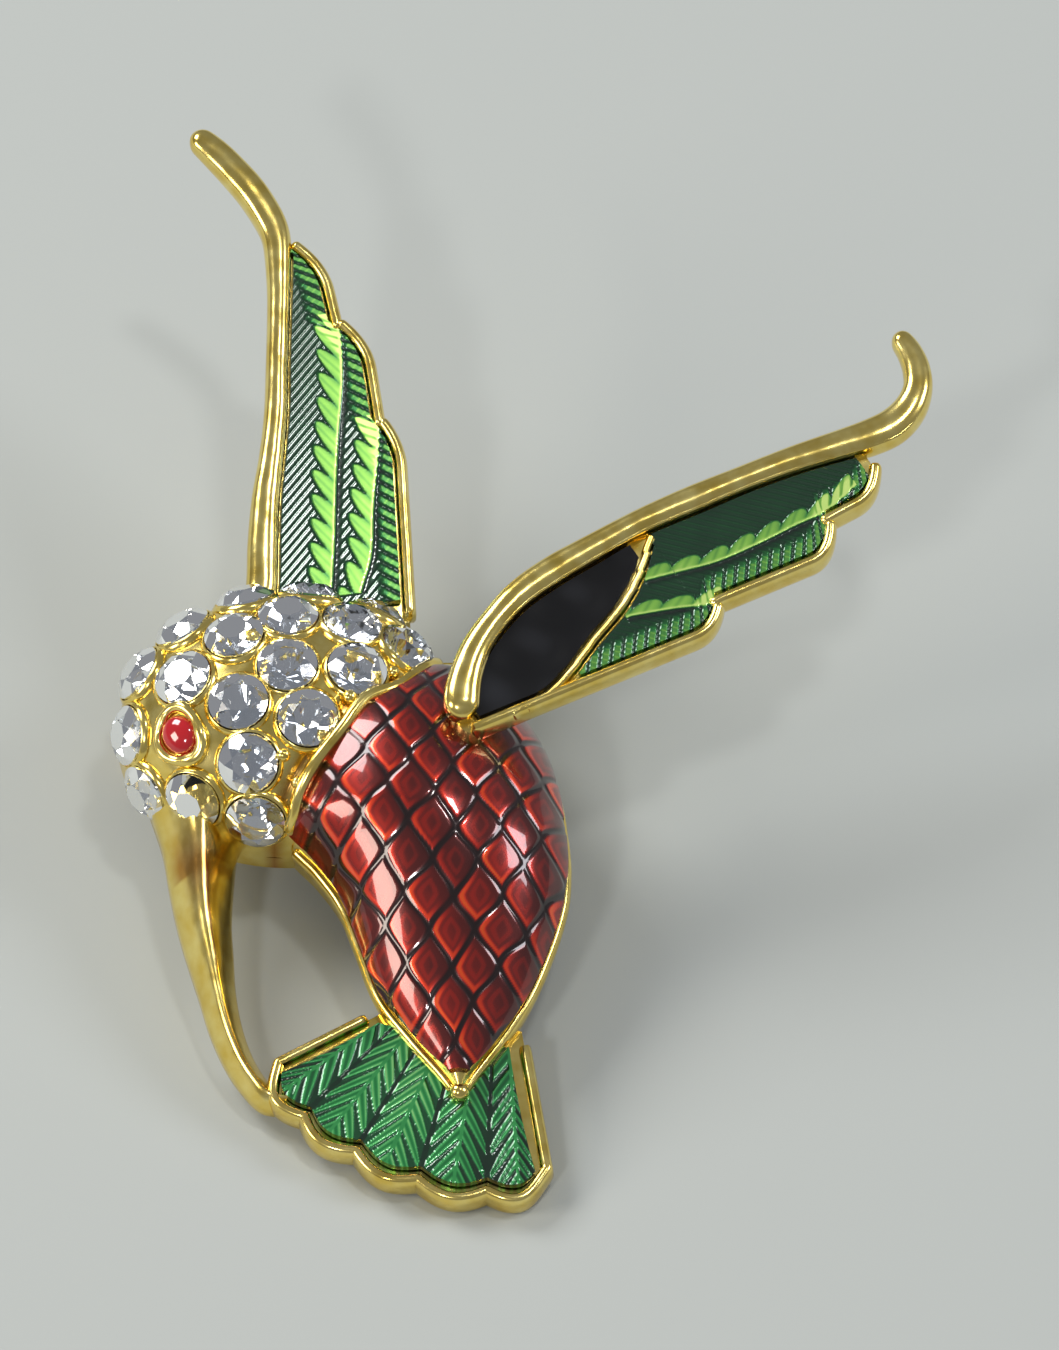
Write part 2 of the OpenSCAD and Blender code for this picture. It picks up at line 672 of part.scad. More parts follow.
function bar_side(wing, bar, s) =
    (follow(bar, 1, s) - follow(bar, 2, s) * 1.04) * wing[1] - floor_gap;

left_trail = function (s) trail(left_feathers, left_round, s) * left_wid;
right_trail = function (s) trail(right_feathers, right_round, s) * right_wid;
divider_y = function (s) follow(divider, 1, s) * right_wid;
divider_from = divider[0][0];
divider_to = divider[len(divider) - 1][0];

left_low = function (s) left_trail(s) + enamel_edge;
left_high = function (s) bar_side(left_wing, left_bar, s);
right_low = function (s) right_trail(s) + enamel_edge;
right_high = function (s)
    min(bar_side(right_wing, right_bar, s), s > divider_to ? right_wid : divider_y(s) - divider_edge);
black_low = function (s)
    max(right_low(s), s < divider_from ? -right_wid : divider_y(s) + divider_edge);
black_high = function (s) bar_side(right_wing, right_bar, s);

// Shares at which the enamels are worked out
left_shares = stations(left_feathers, 0.075, 0.725);
right_shares = stations(right_feathers, 0.215, 0.81);
black_shares = [for (i = [0:wing_steps]) 0.035 + 0.375 * i / wing_steps];

module left_wing_solid(grow, start) {
    wing_solid(left_wing, start, left_shares, left_low, left_high, left_ridges,
        wing_rings, grow);
}

module right_wing_solid(grow, start) {
    wing_solid(right_wing, start, right_shares, right_low, right_high, right_ridges,
        wing_rings, grow);
}

module black_solid(grow, start) {
    wing_solid(right_wing, start, black_shares, black_low, black_high, [], 1, grow);
}

module left_wing_enamel() {
    color(green) left_wing_solid(0, left_start);
}

module right_wing_enamel() {
    color(green) right_wing_solid(0, right_start);
}

module black_enamel() {
    color(black) black_solid(0, right_start);
}

// The raised line between the black and the green enamel
module divider_line() {
    steps = 15;
    half = (rim_proud - web_level) / 2 + 0.1;
    rod([for (i = [0:steps])
        let (p = glide(divider, i / steps))
        [[p[0] * right_len, p[1] * right_wid, rim_proud - half], divider_t / 2, half]]);
}

module wings() {
    winged(left_wing, left_start) difference() {
        union() {
            wing_web(left_wing,
                concat([left_feathers[0][0]], left_shares,
                    [left_feathers[len(left_feathers) - 1][0] - 0.01]),
                left_trail, left_low, left_high,
                function (s) follow(left_bar, 1, s) * left_wid, left_ridges);
            wing_rods(left_wing, left_bar, left_horn, left_feathers, left_round);
        }
        left_wing_solid(enamel_gap);
    }
    winged(right_wing, right_start) difference() {
        union() {
            wing_web(right_wing,
                concat([0.01, 0.06, 0.11, 0.16], right_shares,
                    [right_bar[len(right_bar) - 1][0] - 0.01]),
                right_trail, right_low, right_high,
                function (s) follow(right_bar, 1, s) * right_wid, right_ridges);
            wing_rods(right_wing, right_bar, right_horn, right_feathers, right_round);
            divider_line();
        }
        right_wing_solid(enamel_gap);
        black_solid(enamel_gap);
    }
}

// Space that the right wing's root takes out of the breast enamel
module root_slab() {
    shares = [for (i = [0:6]) -0.025 + 0.055 * i];
    reach = feather_rim_t / 2 + floor_gap;
    places = function (s)
        let (t = max(s, right_bar[0][0]))
        [right_trail(t) - reach,
         (follow(right_bar, 1, t + 0.035) + follow(right_bar, 2, t)) * right_wid + floor_gap];
    winged(right_wing, right_start) sheet(
        wing_face(right_wing, shares, places, [], pocket_free),
        wing_face(right_wing, shares, places, [], web_level - web_t - enamel_gap));
}

// The stalk that carries the right wing's root on the body, as stacked slices
module pedestal(grow) {
    slices = stalk_slices;
    foot = body_rise * foot_level;
    for (k = [0:slices - 1]) hull() {
        pedestal_slice(k / slices, foot, grow);
        pedestal_slice((k + 1) / slices, foot, grow);
    }
}

// Slice of the stalk at the share u from its foot to the wing's face, round its three
// corners
module pedestal_slice(u, foot, grow) {
    top = right_root - enamel_t;
    z = foot + (top - foot) * u;
    for (c = stalk_corners)
        translate([
            right_start[0] + (c[0] + c[2] * u * u) * right_wid,
            right_start[1] + (c[1] + c[3] * u * u) * right_wid, z])
            cylinder(r = stalk_round + grow, h = stalk_slice_t, $fn = 10);
}

module casting() {
    color(gold) difference() {
        union() {
            difference() {
                union() {
                    head_dome(0, 0);
                    body_dome(0, 0);
                    collar();
                    body_rim();
                }
                breast_solid(enamel_gap);
            }
            difference() {
                union() {
                    tail_web();
                    rod(tail_rim_path());
                    beak();
                }
                tail_solid(enamel_gap);
            }
            pedestal(0);
            wings();
            eye_ring();
            for (g = grains)
                translate(on_head(g)) sphere(d = grain_d, $fn = 8);
        }
        hollow();
        for (s = seats) seated(s) stone(enamel_gap);
        seated(eye_seat) eye_cup();
    }
}

// The dished back, which leaves a bridge where the pin is fixed
module hollow() {
    difference() {
        union() {
            head_dome(-head_wall, dish_below, 16, 4);
            body_dome(body_wall, dish_below, 10, 8, dish_from, dish_to);
        }
        translate([head_x - head_half_len, pin_y - pin_plate_w, 0])
            cube([2 * head_half_len + body_w, 2 * pin_plate_w, bridge_h]);
    }
}

module collar() {
    steps = 17;
    rod([for (i = [0:steps])
        let (p = on_head(glide(collar_rows, i / steps)))
        [p + [0.05, 0, 0.05], collar_t / 2, collar_t / 2]]);
}

// Share of the body's length at which its gold lines end in the rounded point
body_rim_end = 0.99;

// The gold line along the breast's lower edges, from the collar round the point
module body_rim() {
    steps = 15;
    for (side = [-1, 1]) {
        from = side < 0 ? collar_end : 0.16;
        rod([for (i = [0:steps])
            let (t = from + (body_rim_end - from) * i / steps, p = on_body(t, side * 88))
            [p, body_rim_t / 2, body_rim_t / 2 + enamel_t / 2]]);
    }
    translate(on_body(1, 0) - [0, 0, enamel_t])
        sphere(d = point_w, $fn = 8);
}

// Ridge-backed beak as a chain of blended sections
module beak() {
    for (i = [0:len(beak_rows) - 2]) hull() {
        beak_section(beak_rows[i]);
        beak_section(beak_rows[i + 1]);
    }
}

module beak_section(row) {
    w = beak_w * row[2];
    h = beak_h * row[3];
    translate([head_x + row[1] * head_half_len, head_y - row[0] * beak_len, 0])
        rotate([90, 0, 0])
        linear_extrude(0.1, center = true)
        polygon([[-w / 2, 0], [w / 2, 0], [w / 2, h * 0.35], [w * 0.12, h * 0.94],
            [0, h], [-w * 0.12, h * 0.94], [-w / 2, h * 0.45]]);
}

// Puts what is drawn round the z axis on the head dome, facing outwards
module seated(place) {
    n = head_facing(place);
    translate(on_head(place))
        rotate([0, acos(n[2]), atan2(n[1], n[0])])
        children();
}

// Round stone with eight-sided table, made larger by grow
module stone(grow) {
    d = stone_d + 2 * grow;
    table_r = d * table_share / 2;
    ring = function (r, z, n, turn)
        [for (i = [0:n - 1]) [r * cos(360 * (i + turn) / n), r * sin(360 * (i + turn) / n), z]];
    low = stone_proud - grow;
    high = stone_proud + girdle_t + grow;
    top = high + crown_h;
    points = concat(ring(table_r, top, 8, 0), ring(d / 2, high, 16, 0), ring(d / 2, low, 16, 0),
        [[0, 0, stone_proud - pavilion_h - 1.5 * grow]]);
    crown = [for (i = [0:7])
        let (t0 = i, t1 = (i + 1) % 8, g0 = 8 + 2 * i, g1 = g0 + 1, g2 = 8 + (2 * i + 2) % 16)
        each [[t0, g1, g0], [t0, t1, g1], [t1, g2, g1]]];
    girdle = [for (i = [0:15])
        let (a = 8 + i, b = 8 + (i + 1) % 16)
        each [[a, b, b + 16], [a, b + 16, a + 16], [a + 16, b + 16, 40]]];
    polyhedron(points, concat([[7, 6, 5, 4, 3, 2, 1, 0]], crown, girdle));
}

module stone_piece(i) {
    color(clear) seated(seats[i - 1]) stone(0);
}

// The eye's length and height as shares of its width, and its height over the dome
eye_long = 1.15;
eye_flat = 0.55;
eye_proud = 0.05;

// Cup that the eye lies in, under its ring
module eye_cup() {
    depth = eye_w / 2 * eye_flat + floor_gap - eye_proud;
    translate([0, 0, -depth])
        scale([1, eye_long, 1])
        cylinder(d = (eye_w + 2 * enamel_gap) / cos(15), h = 2 * depth, $fn = 12);
}

module eye_ring() {
    seated(eye_seat)
        scale([1, eye_long, 1])
        rotate_extrude($fn = 12)
        translate([eye_w / 2 + eye_ring_t / 2 + enamel_gap, eye_proud])
        circle(d = eye_ring_t, $fn = 6);
}

// Domed red eye in its ring
module eye_enamel() {
    color(ruby) seated(eye_seat)
        translate([0, 0, eye_proud])
        scale([1, eye_long, eye_flat])
        sphere(d = eye_w, $fn = 24);
}

// Bar pin: plate, round hinge and round catch, and a stem between them
module pin_back() {
    r = pin_knuckle_d / 2;
    ends = [pin_x - pin_len / 2, pin_x + pin_len / 2 - pin_knuckle_len];
    color(gold) {
        translate([pin_x - pin_len / 2, pin_y - pin_plate_w / 2, -pin_gap - pin_plate_t])
            cube([pin_len, pin_plate_w, pin_plate_t]);
        for (x = ends) {
            translate([x, pin_y, r - pin_drop])
                rotate([0, 90, 0])
                cylinder(r = r, h = pin_knuckle_len, $fn = 48);
            translate([x, pin_y - r * 0.6, r - pin_drop])
                cube([pin_knuckle_len, r * 1.2, pin_drop - r - pin_gap - pin_plate_t / 2]);
        }
        translate([pin_x - pin_len / 2 + pin_knuckle_len / 2, pin_y, r - pin_drop])
            rotate([0, 90, 0])
            cylinder(d = pin_stem_d, h = pin_len - pin_knuckle_len, $fn = 32);
    }
}

// How far the bird leans back when it rests on its pin and its tail
tail_reach = max([for (i = [0:tail_steps]) -tail_point(i / tail_steps, 1)[1]]);
rest_run = pin_y + tail_reach;
rest_r = pin_knuckle_d / 2;
tail_r = tail_top / 2;
rest_up = pin_drop - rest_r + tail_r;
lean = atan2(rest_up, rest_run) + asin((rest_r - tail_r) / norm([rest_up, rest_run]));
rest_z = -(pin_y * sin(lean) + (rest_r - pin_drop) * cos(lean) - rest_r);

// Middle of the resting bird's outline, which is put over the origin
horn_points = function (wing, start, horn)
    [for (r = horn)
        concat(on_wing(wing, start, r[0] * wing[0], r[1] * wing[1], bar_level), r[2] * wing[1])];
x_from = min([for (s = seats) let (n = head_facing(s))
    on_head(s)[0] + n[0] * stone_proud - stone_d / 2 * n[2]]);
x_to = max([for (p = horn_points(right_wing, right_start, right_horn)) p[0] + p[3]]);
y_from = -tail_reach * cos(lean) - tail_top * sin(lean);
y_to = max([for (p = horn_points(left_wing, left_start, left_horn))
    p[1] * cos(lean) - p[2] * sin(lean) + p[3]]);
middle = [(x_from + x_to) / 2, (y_from + y_to) / 2];

module resting() {
    translate([-middle[0], -middle[1], rest_z]) rotate([lean, 0, 0]) children();
}

resting() casting();
resting() breast_enamel();
resting() tail_enamel();
resting() left_wing_enamel();
resting() right_wing_enamel();
resting() black_enamel();
resting() eye_enamel();
resting() pin_back();
for (i = [1:len(seats)])
    resting() stone_piece(i);
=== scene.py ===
import math

import bpy
import numpy as np
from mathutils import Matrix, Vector


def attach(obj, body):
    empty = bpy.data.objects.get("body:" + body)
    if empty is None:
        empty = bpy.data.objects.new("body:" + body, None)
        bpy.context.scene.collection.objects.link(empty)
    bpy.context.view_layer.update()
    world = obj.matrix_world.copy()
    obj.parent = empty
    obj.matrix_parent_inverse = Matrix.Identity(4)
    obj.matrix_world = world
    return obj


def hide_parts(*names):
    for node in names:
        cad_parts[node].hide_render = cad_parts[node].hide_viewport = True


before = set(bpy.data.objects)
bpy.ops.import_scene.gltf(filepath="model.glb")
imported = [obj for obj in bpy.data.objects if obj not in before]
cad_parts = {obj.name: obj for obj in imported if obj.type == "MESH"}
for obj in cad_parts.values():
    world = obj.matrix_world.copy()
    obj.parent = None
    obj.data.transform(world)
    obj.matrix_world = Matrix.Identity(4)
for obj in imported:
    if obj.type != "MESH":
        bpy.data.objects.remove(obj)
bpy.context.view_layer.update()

# ---------------------------------------------------------------- head dome
# The head is a smooth dome of cast white metal under yellow gold plate. Each stone
# sinks into a round seat, and beside the collar the gold dips into a shallow groove;
# both are darkened with painted shade.

# The bird is worked out in mm on its back plane: x to the viewer's right, y up the
# bird, z out of it. At rest it leans back by LEAN and its middle is over the origin.
LEAN = math.radians(8.79088)
LIFT = 3.86623
MIDDLE = (6.24774, 3.30466)
HEAD = dict(x=-5.55, y=0.95, long=8.6, wide=7.1, rise=6.7, full=2.5)
SEATS = np.array([
    [0.12, -0.31], [-0.22, -0.60], [-0.28, -0.18], [0.40, 0.09], [0, 0.10],
    [-0.18, -0.89], [-0.54, -0.73], [-0.82, -0.54], [-0.92, -0.18],
    [-0.60, 0.06], [-0.86, 0.26], [-0.31, 0.37], [0, 0.54], [0.37, 0.51],
    [0.69, 0.38], [-0.61, 0.56], [-0.25, 0.80], [0.12, 0.87], [0.52, 0.80]])
COLLAR = np.array([
    [0.86, 0.36], [0.65, 0.02], [0.45, -0.14], [0.31, -0.38], [0.18, -0.58],
    [0.08, -0.76], [0.04, -0.88], [0.01, -0.95]])


def at_rest(points):
    """Plan points in mm, turned by LEAN about x, lifted and centred, in metres."""
    x, y, z = np.moveaxis(np.asarray(points, float), -1, 0)
    c, s = math.cos(LEAN), math.sin(LEAN)
    return np.stack([x - MIDDLE[0], y * c - z * s - MIDDLE[1], y * s + z * c + LIFT], -1) / 1000


def unit(v):
    """Vectors divided by their length."""
    return v / np.maximum(np.linalg.norm(v, axis=-1, keepdims=True), 1e-12)


def grid_faces(rows, columns, around=False):
    """Four-sided faces over a grid of points, closed round each row when asked."""
    i, j = np.meshgrid(np.arange(rows - 1), np.arange(columns - (not around)), indexing="ij")
    a, b = i * columns + j, i * columns + (j + 1) % columns
    return np.stack([a, b, b + columns, a + columns], -1).reshape(-1, 4)


def loop_faces(rows, columns):
    """Four-sided faces over a grid of points that is closed both ways."""
    i, j = np.meshgrid(np.arange(rows), np.arange(columns), indexing="ij")
    a, b = i * columns + j, i * columns + (j + 1) % columns
    c, d = (i + 1) % rows * columns + (j + 1) % columns, (i + 1) % rows * columns + j
    return np.stack([a, b, c, d], -1).reshape(-1, 4)


def closed_rings(rings):
    """Points and faces of a skin through rings of points, with a fan at each end."""
    m, n = rings.shape[:2]
    j = np.arange(n)
    k = (j + 1) % n
    last = (m - 1) * n
    points = np.concatenate([rings.reshape(-1, 3), [rings[0].mean(0)], [rings[-1].mean(0)]])
    first_end = np.stack([k, j, np.full(n, m * n)], -1)
    last_end = np.stack([last + j, last + k, np.full(n, m * n + 1)], -1)
    return points, [grid_faces(m, n, True), first_end, last_end]


def slab(top, under):
    """Points and faces of a plate between two grids of points of one size."""
    m, n = top.shape[:2]
    skin = grid_faces(m, n)
    edge = np.concatenate([
        np.arange(m) * n, (m - 1) * n + np.arange(1, n),
        n - 1 + n * np.arange(m - 2, -1, -1), np.arange(n - 2, 0, -1)])
    after = np.roll(edge, -1)
    wall = np.stack([after, edge, edge + m * n, after + m * n], -1)
    points = np.concatenate([top.reshape(-1, 3), under.reshape(-1, 3)])
    return points, [skin, skin[:, ::-1] + m * n, wall]


def joined(parts):
    """One set of points and faces from several."""
    points, faces, start = [], [], 0
    for p, groups in parts:
        points.append(p)
        faces += [g + start for g in groups]
        start += len(p)
    return np.concatenate(points), faces


def piece(name, shape, finishes, stands_for, slot, sharp=35, which=None, **layers):
    """Makes a piece of the brooch from plan points in mm and groups of faces. A shape
    whose enclosed volume comes out negative is turned right side out. The layers are
    values or vectors kept at the points for the material."""
    points, groups = shape
    at = at_rest(points)
    volume = sum(
        np.einsum("ij,ij->i", at[g[:, 0]], np.cross(at[g[:, k]], at[g[:, k + 1]])).sum()
        for g in groups for k in range(1, g.shape[1] - 1))
    if volume < 0:
        groups = [g[:, ::-1] for g in groups]
    corners = np.concatenate([g.ravel() for g in groups]).astype(np.int32)
    sizes = np.concatenate([np.full(len(g), g.shape[1]) for g in groups])
    starts = (np.cumsum(sizes) - sizes).astype(np.int32)
    mesh = bpy.data.meshes.new(name)
    mesh.vertices.add(len(at))
    mesh.vertices.foreach_set("co", at.ravel().astype(np.float32))
    mesh.loops.add(len(corners))
    mesh.loops.foreach_set("vertex_index", corners)
    mesh.polygons.add(len(starts))
    mesh.polygons.foreach_set("loop_start", starts)
    for finish in finishes:
        mesh.materials.append(finish)
    if which is not None:
        mesh.polygons.foreach_set("material_index", np.asarray(which, np.int32))
    mesh.update(calc_edges=True)
    mesh.shade_smooth()
    mesh.set_sharp_from_angle(angle=math.radians(sharp))
    for layer, values in layers.items():
        vector = np.ndim(values) == 2
        store = mesh.attributes.new(layer, "FLOAT_VECTOR" if vector else "FLOAT", "POINT")
        store.data.foreach_set("vector" if vector else "value", np.asarray(values, np.float32).ravel())
    obj = bpy.data.objects.new(name, mesh)
    bpy.context.scene.collection.objects.link(obj)
    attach(obj, "root")
    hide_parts(stands_for)


def linear(code):
    """Linear colour of an sRGB hex value, opaque."""
    v = np.array([int(code[i:i + 2], 16) for i in (1, 3, 5)]) / 255
    v = np.where(v <= 0.04045, v / 12.92, ((v + 0.055) / 1.055) ** 2.4)
    return (*v.tolist(), 1.0)


def add(tree, kind, inputs=(), **settings):
    """Adds one node: its settings, then its inputs by name or number, each a value or
    the output of another node."""
    made = tree.nodes.new(kind)
    for key, value in settings.items():
        setattr(made, key, value)
    for key, value in dict(inputs).items():
        if isinstance(value, bpy.types.NodeSocket):
            tree.links.new(value, made.inputs[key])
        else:
            made.inputs[key].default_value = value
    return made


def blank(name):
    """A new material with its own tree, and the shader in it."""
    made = bpy.data.materials.new(name)
    made.use_nodes = True
    return made, made.node_tree, made.node_tree.nodes["Principled BSDF"]


def stops(ramp, colours):
    """Puts colours, a list of place and hex value, into a colour ramp."""
    band = ramp.color_ramp
    while len(band.elements) < len(colours):
        band.elements.new(0.5)
    for element, (place, code) in zip(band.elements, colours):
        element.position = place
        element.color = linear(code)


# Noise scales are given as so many to the mm, turned into so many to the metre.
PER_MM = 1000.0

# Yellow gold plate over cast metal, polished: a warm mirror, a little wavy and in
# places finely worn. Brown painted shade darkens it where the points carry it: in the
# stone seats, beside the collar, inside the head, on the beak and on the stalk.
gold, tree, shader = blank("polished gold plate")
place = add(tree, "ShaderNodeTexCoord").outputs["Object"]
worn = add(tree, "ShaderNodeTexNoise", {"Vector": place, "Scale": 0.9 * PER_MM, "Detail": 3.0})
tone = add(tree, "ShaderNodeValToRGB", {"Fac": worn.outputs["Fac"]})
stops(tone, [(0.3, "#EBCB62"), (0.7, "#FBE690")])
# Painted shade, kept at the points, is mixed into the gold as brown.
pit = add(tree, "ShaderNodeAttribute", attribute_name="pit")
shade = add(tree, "ShaderNodeMix", {0: pit.outputs["Fac"], 6: tone.outputs["Color"], 7: linear("#A0561A")},
            data_type="RGBA")
rough = add(tree, "ShaderNodeMapRange", {"Value": worn.outputs["Fac"], "To Min": 0.12, "To Max": 0.26})
waves = add(tree, "ShaderNodeTexNoise", {"Vector": place, "Scale": 0.42 * PER_MM, "Detail": 2.0})
relief = add(tree, "ShaderNodeBump", {"Height": waves.outputs["Fac"], "Strength": 0.35, "Distance": 0.0002})
for socket, value in (("Base Color", shade.outputs[2]), ("Roughness", rough.outputs["Result"]),
                      ("Normal", relief.outputs["Normal"])):
    tree.links.new(value, shader.inputs[socket])
shader.inputs["Metallic"].default_value = 1.0


def gold_piece(name, shape, **more):
    """Makes a piece of the gold-plated casting."""
    piece(name, shape, [gold], "casting", "gold plating", **more)


def follow(table, column, x):
    """Smooth value of a table's column at x: between two rows a cubic whose end slopes
    are those of the chords through the rows' neighbours."""
    t = np.asarray(table, float)
    x = np.asarray(x, float)
    n = len(t)
    i = np.clip(np.searchsorted(t[:, 0], x, side="right") - 1, 0, n - 2)
    before, after = np.maximum(np.arange(n) - 1, 0), np.minimum(np.arange(n) + 1, n - 1)
    slope = (t[after, column] - t[before, column]) / (t[after, 0] - t[before, 0])
    w = t[i + 1, 0] - t[i, 0]
    s = (x - t[i, 0]) / w
    return (t[i, column] * (1 + s * s * (2 * s - 3)) + t[i + 1, column] * s * s * (3 - 2 * s)
            + slope[i] * w * s * (1 - s) ** 2 - slope[i + 1] * w * s * s * (1 - s))


def glide(rows, u):
    """Smooth rows at shares u of the way along a list of rows, by the same cubic."""
    p = np.asarray(rows, float)
    n = len(p) - 1
    u = np.asarray(u, float)
    i = np.clip(np.floor(u * n).astype(int), 0, n - 1)
    s = (u * n - i)[:, None]
    a, b, c, d = p[np.maximum(i - 1, 0)], p[i], p[i + 1], p[np.minimum(i + 2, n)]
    return (b * (1 + s * s * (2 * s - 3)) + c * s * s * (3 - 2 * s)
            + (c - a) / 2 * s * (1 - s) ** 2 - (d - b) / 2 * s * s * (1 - s))


def head_level(x, y):
    """Height of the head: a rounded box profile, full at the sides, over an oval."""
    r = np.hypot((x - HEAD["x"]) / HEAD["long"], (y - HEAD["y"]) / HEAD["wide"])
    return HEAD["rise"] * np.clip(1 - r ** HEAD["full"], 0, 1) ** (1 / HEAD["full"])


def on_head(place):
    """Points on the head from shares of its half length and half width."""
    x = HEAD["x"] + place[..., 0] * HEAD["long"]
    y = HEAD["y"] + place[..., 1] * HEAD["wide"]
    return np.stack([x, y, head_level(x, y)], -1)


def head_facing(place):
    """Outward directions of the head at such places, from the slope of its height."""
    r = np.linalg.norm(place, axis=-1)
    k = HEAD["rise"] * r ** (HEAD["full"] - 2) * (1 - r ** HEAD["full"]) ** (1 / HEAD["full"] - 1)
    return unit(np.stack([k * place[..., 0] / HEAD["long"], k * place[..., 1] / HEAD["wide"],
                          np.ones_like(r)], -1))


def seated(place, local):
    """Local points, z outwards, turned to the head's direction at a place and put there."""
    up = head_facing(np.asarray(place))
    round_z = math.atan2(up[1], up[0])
    tilt = math.acos(up[2])
    x, y, z = np.moveaxis(local, -1, 0)
    x, z = x * math.cos(tilt) + z * math.sin(tilt), z * math.cos(tilt) - x * math.sin(tilt)
    x, y = x * math.cos(round_z) - y * math.sin(round_z), x * math.sin(round_z) + y * math.cos(round_z)
    return np.stack([x, y, z], -1) + on_head(np.asarray(place))


BODY = dict(long=23.5, wide=13.8, rise=6.9, side=1.1, top=3.9, x=1.4)
BODY_ROWS = [
    [0.000, 0.02, 0.30, 0.42], [0.060, -0.45, 0.55, 0.68], [0.140, -0.85, 0.70, 0.87],
    [0.220, -1.02, 0.84, 0.97], [0.320, -1.05, 0.94, 1.00], [0.400, -1.02, 0.98, 0.99],
    [0.425, -0.97, 0.99, 0.98], [0.480, -0.80, 1.00, 0.94], [0.560, -0.62, 0.98, 0.86],
    [0.660, -0.49, 0.89, 0.74], [0.780, -0.34, 0.73, 0.59], [0.880, -0.10, 0.53, 0.46],
    [0.960, 0.12, 0.34, 0.36], [1.000, 0.21, 0.26, 0.30]]


def body_at(t):
    """Place up the bird, middle, half width and crown of the body at shares t of its length."""
    left, right = follow(BODY_ROWS, 1, t), follow(BODY_ROWS, 2, t)
    w = BODY["wide"] / 2
    return (BODY["top"] - t * BODY["long"], BODY["x"] + (left + right) / 2 * w, (right - left) / 2 * w,
            follow(BODY_ROWS, 3, t) * BODY["rise"])


def body_level(x, y):
    """Height of the body over the back plane: an arch from side to side."""
    t = (BODY["top"] - y) / BODY["long"]
    _, middle, half, crown = body_at(np.clip(t, 0, 1))
    arch = np.sqrt(np.clip(1 - ((x - middle) / half) ** 2, 0, 1))
    return np.where((t > 0) & (t < 1) & (arch > 0), BODY["side"] + (crown - BODY["side"]) * arch, 0)


def collar_x(y, top=3.5):
    """Sideways place of the collar at places y up the bird, held still past its ends."""
    up = HEAD["y"] + COLLAR[::-1, 1] * HEAD["wide"]
    sideways = HEAD["x"] + COLLAR[::-1, 0] * HEAD["long"]
    return follow(np.stack([up, sideways], -1), 1, np.clip(y, -5.8, top))


SEAT_RADIUS, HEAD_WALL = 1.6, 2.3


def dome(grow, sides, rings, seats=False):
    """Rings of the head from its foot up, made larger by grow. Where a stone sits, the
    skin drops into a cone along the stone's own direction."""
    t = np.radians(np.linspace(0, 89.5, rings))[:, None]
    u = np.radians(np.linspace(0, 360, sides, endpoint=False))[None]
    r = np.cos(t) ** (2 / HEAD["full"])
    x = HEAD["x"] + (HEAD["long"] + grow) * r * np.cos(u)
    y = HEAD["y"] + (HEAD["wide"] + grow) * r * np.sin(u)
    z = (HEAD["rise"] + grow) * np.sin(t) ** (2 / HEAD["full"]) + 0 * u
    p = np.stack([x, y, z], -1)
    pit = np.zeros(p.shape[:2])
    if not seats:
        return p, pit
    for place in SEATS:
        c, n = on_head(place), head_facing(place)
        d = p - c
        h = d @ n
        rho = np.linalg.norm(d - h[..., None] * n, axis=-1)
        inside = (rho < SEAT_RADIUS) & (np.abs(h) < 1.5)
        sink = -1.35 * np.clip(1 - rho / SEAT_RADIUS, 0, 1) - 0.22
        p = np.where(inside[..., None], p + (sink - h)[..., None] * n, p)
        # Painted shade: the seat cones under the stones are darkened.
        pit = np.where(inside, 0.8, pit)
    return p, pit


outer, pit_outer = dome(0, 400, 120, seats=True)
beyond = outer[..., 0] - collar_x(outer[..., 1])
under = body_level(outer[..., 0], outer[..., 1])
near = np.clip(1 - np.abs(beyond + 0.75) / 0.6, 0, 1) * (outer[..., 1] < 1.5)
# Painted shade along the groove beside the collar.
pit_outer = np.maximum(pit_outer, 0.75 * near)
outer[..., 2] -= 0.3 * near * (outer[..., 2] > 1)
sunk = (beyond > 0.2) & (under > 0) & (outer[..., 2] > 0.3)
outer[..., 2] = np.where(sunk, np.minimum(outer[..., 2], under - 0.25), outer[..., 2])
inner, pit_inner = dome(-HEAD_WALL, 400, 20)
shell = np.concatenate([outer[::-1], inner])
# Painted shade: the inside of the shell is darkened all over.
gold_piece("head_dome", closed_rings(shell), sharp=50,
           pit=np.concatenate([pit_outer[::-1].ravel(), 0.5 + pit_inner.ravel(), [0, 0.5]]))

# ---------------------------------------------------------------- stone seats
# A low rounded lip stands round each stone. It is cast with the head, gold-plated, and
# pushed over the girdle to hold the stone.

LIP = np.array([[1.515, -0.75], [1.515, -0.02], [1.53, 0.06], [1.565, 0.1], [1.61, 0.08],
                [1.67, 0.0], [1.75, -0.1], [1.75, -0.4]])
LIP_SIDES = 64
turn = np.radians(np.linspace(0, 360, LIP_SIDES, endpoint=False))
ring = np.stack([LIP[:, None, 0] * np.cos(turn), LIP[:, None, 0] * np.sin(turn),
                 LIP[:, None, 1] + 0 * turn], -1).transpose(1, 0, 2)
lips = [(seated(place, ring).reshape(-1, 3), [loop_faces(LIP_SIDES, len(LIP))]) for place in SEATS]
gold_piece("stone_lips", joined(lips), sharp=60)

# ---------------------------------------------------------------- stones
# Nineteen round glass stones of 3 mm, brilliant cut, with a silver foil behind them
# that throws the light back through the crown. They are pushed into the seats.

# Clear flint glass, ground and polished: bright edges, no colour.
glass, tree, shader = blank("cut glass")
shader.inputs["Base Color"].default_value = linear("#FFFFFF")
shader.inputs["Roughness"].default_value = 0.0
shader.inputs["Transmission Weight"].default_value = 1.0
shader.inputs["IOR"].default_value = 1.55
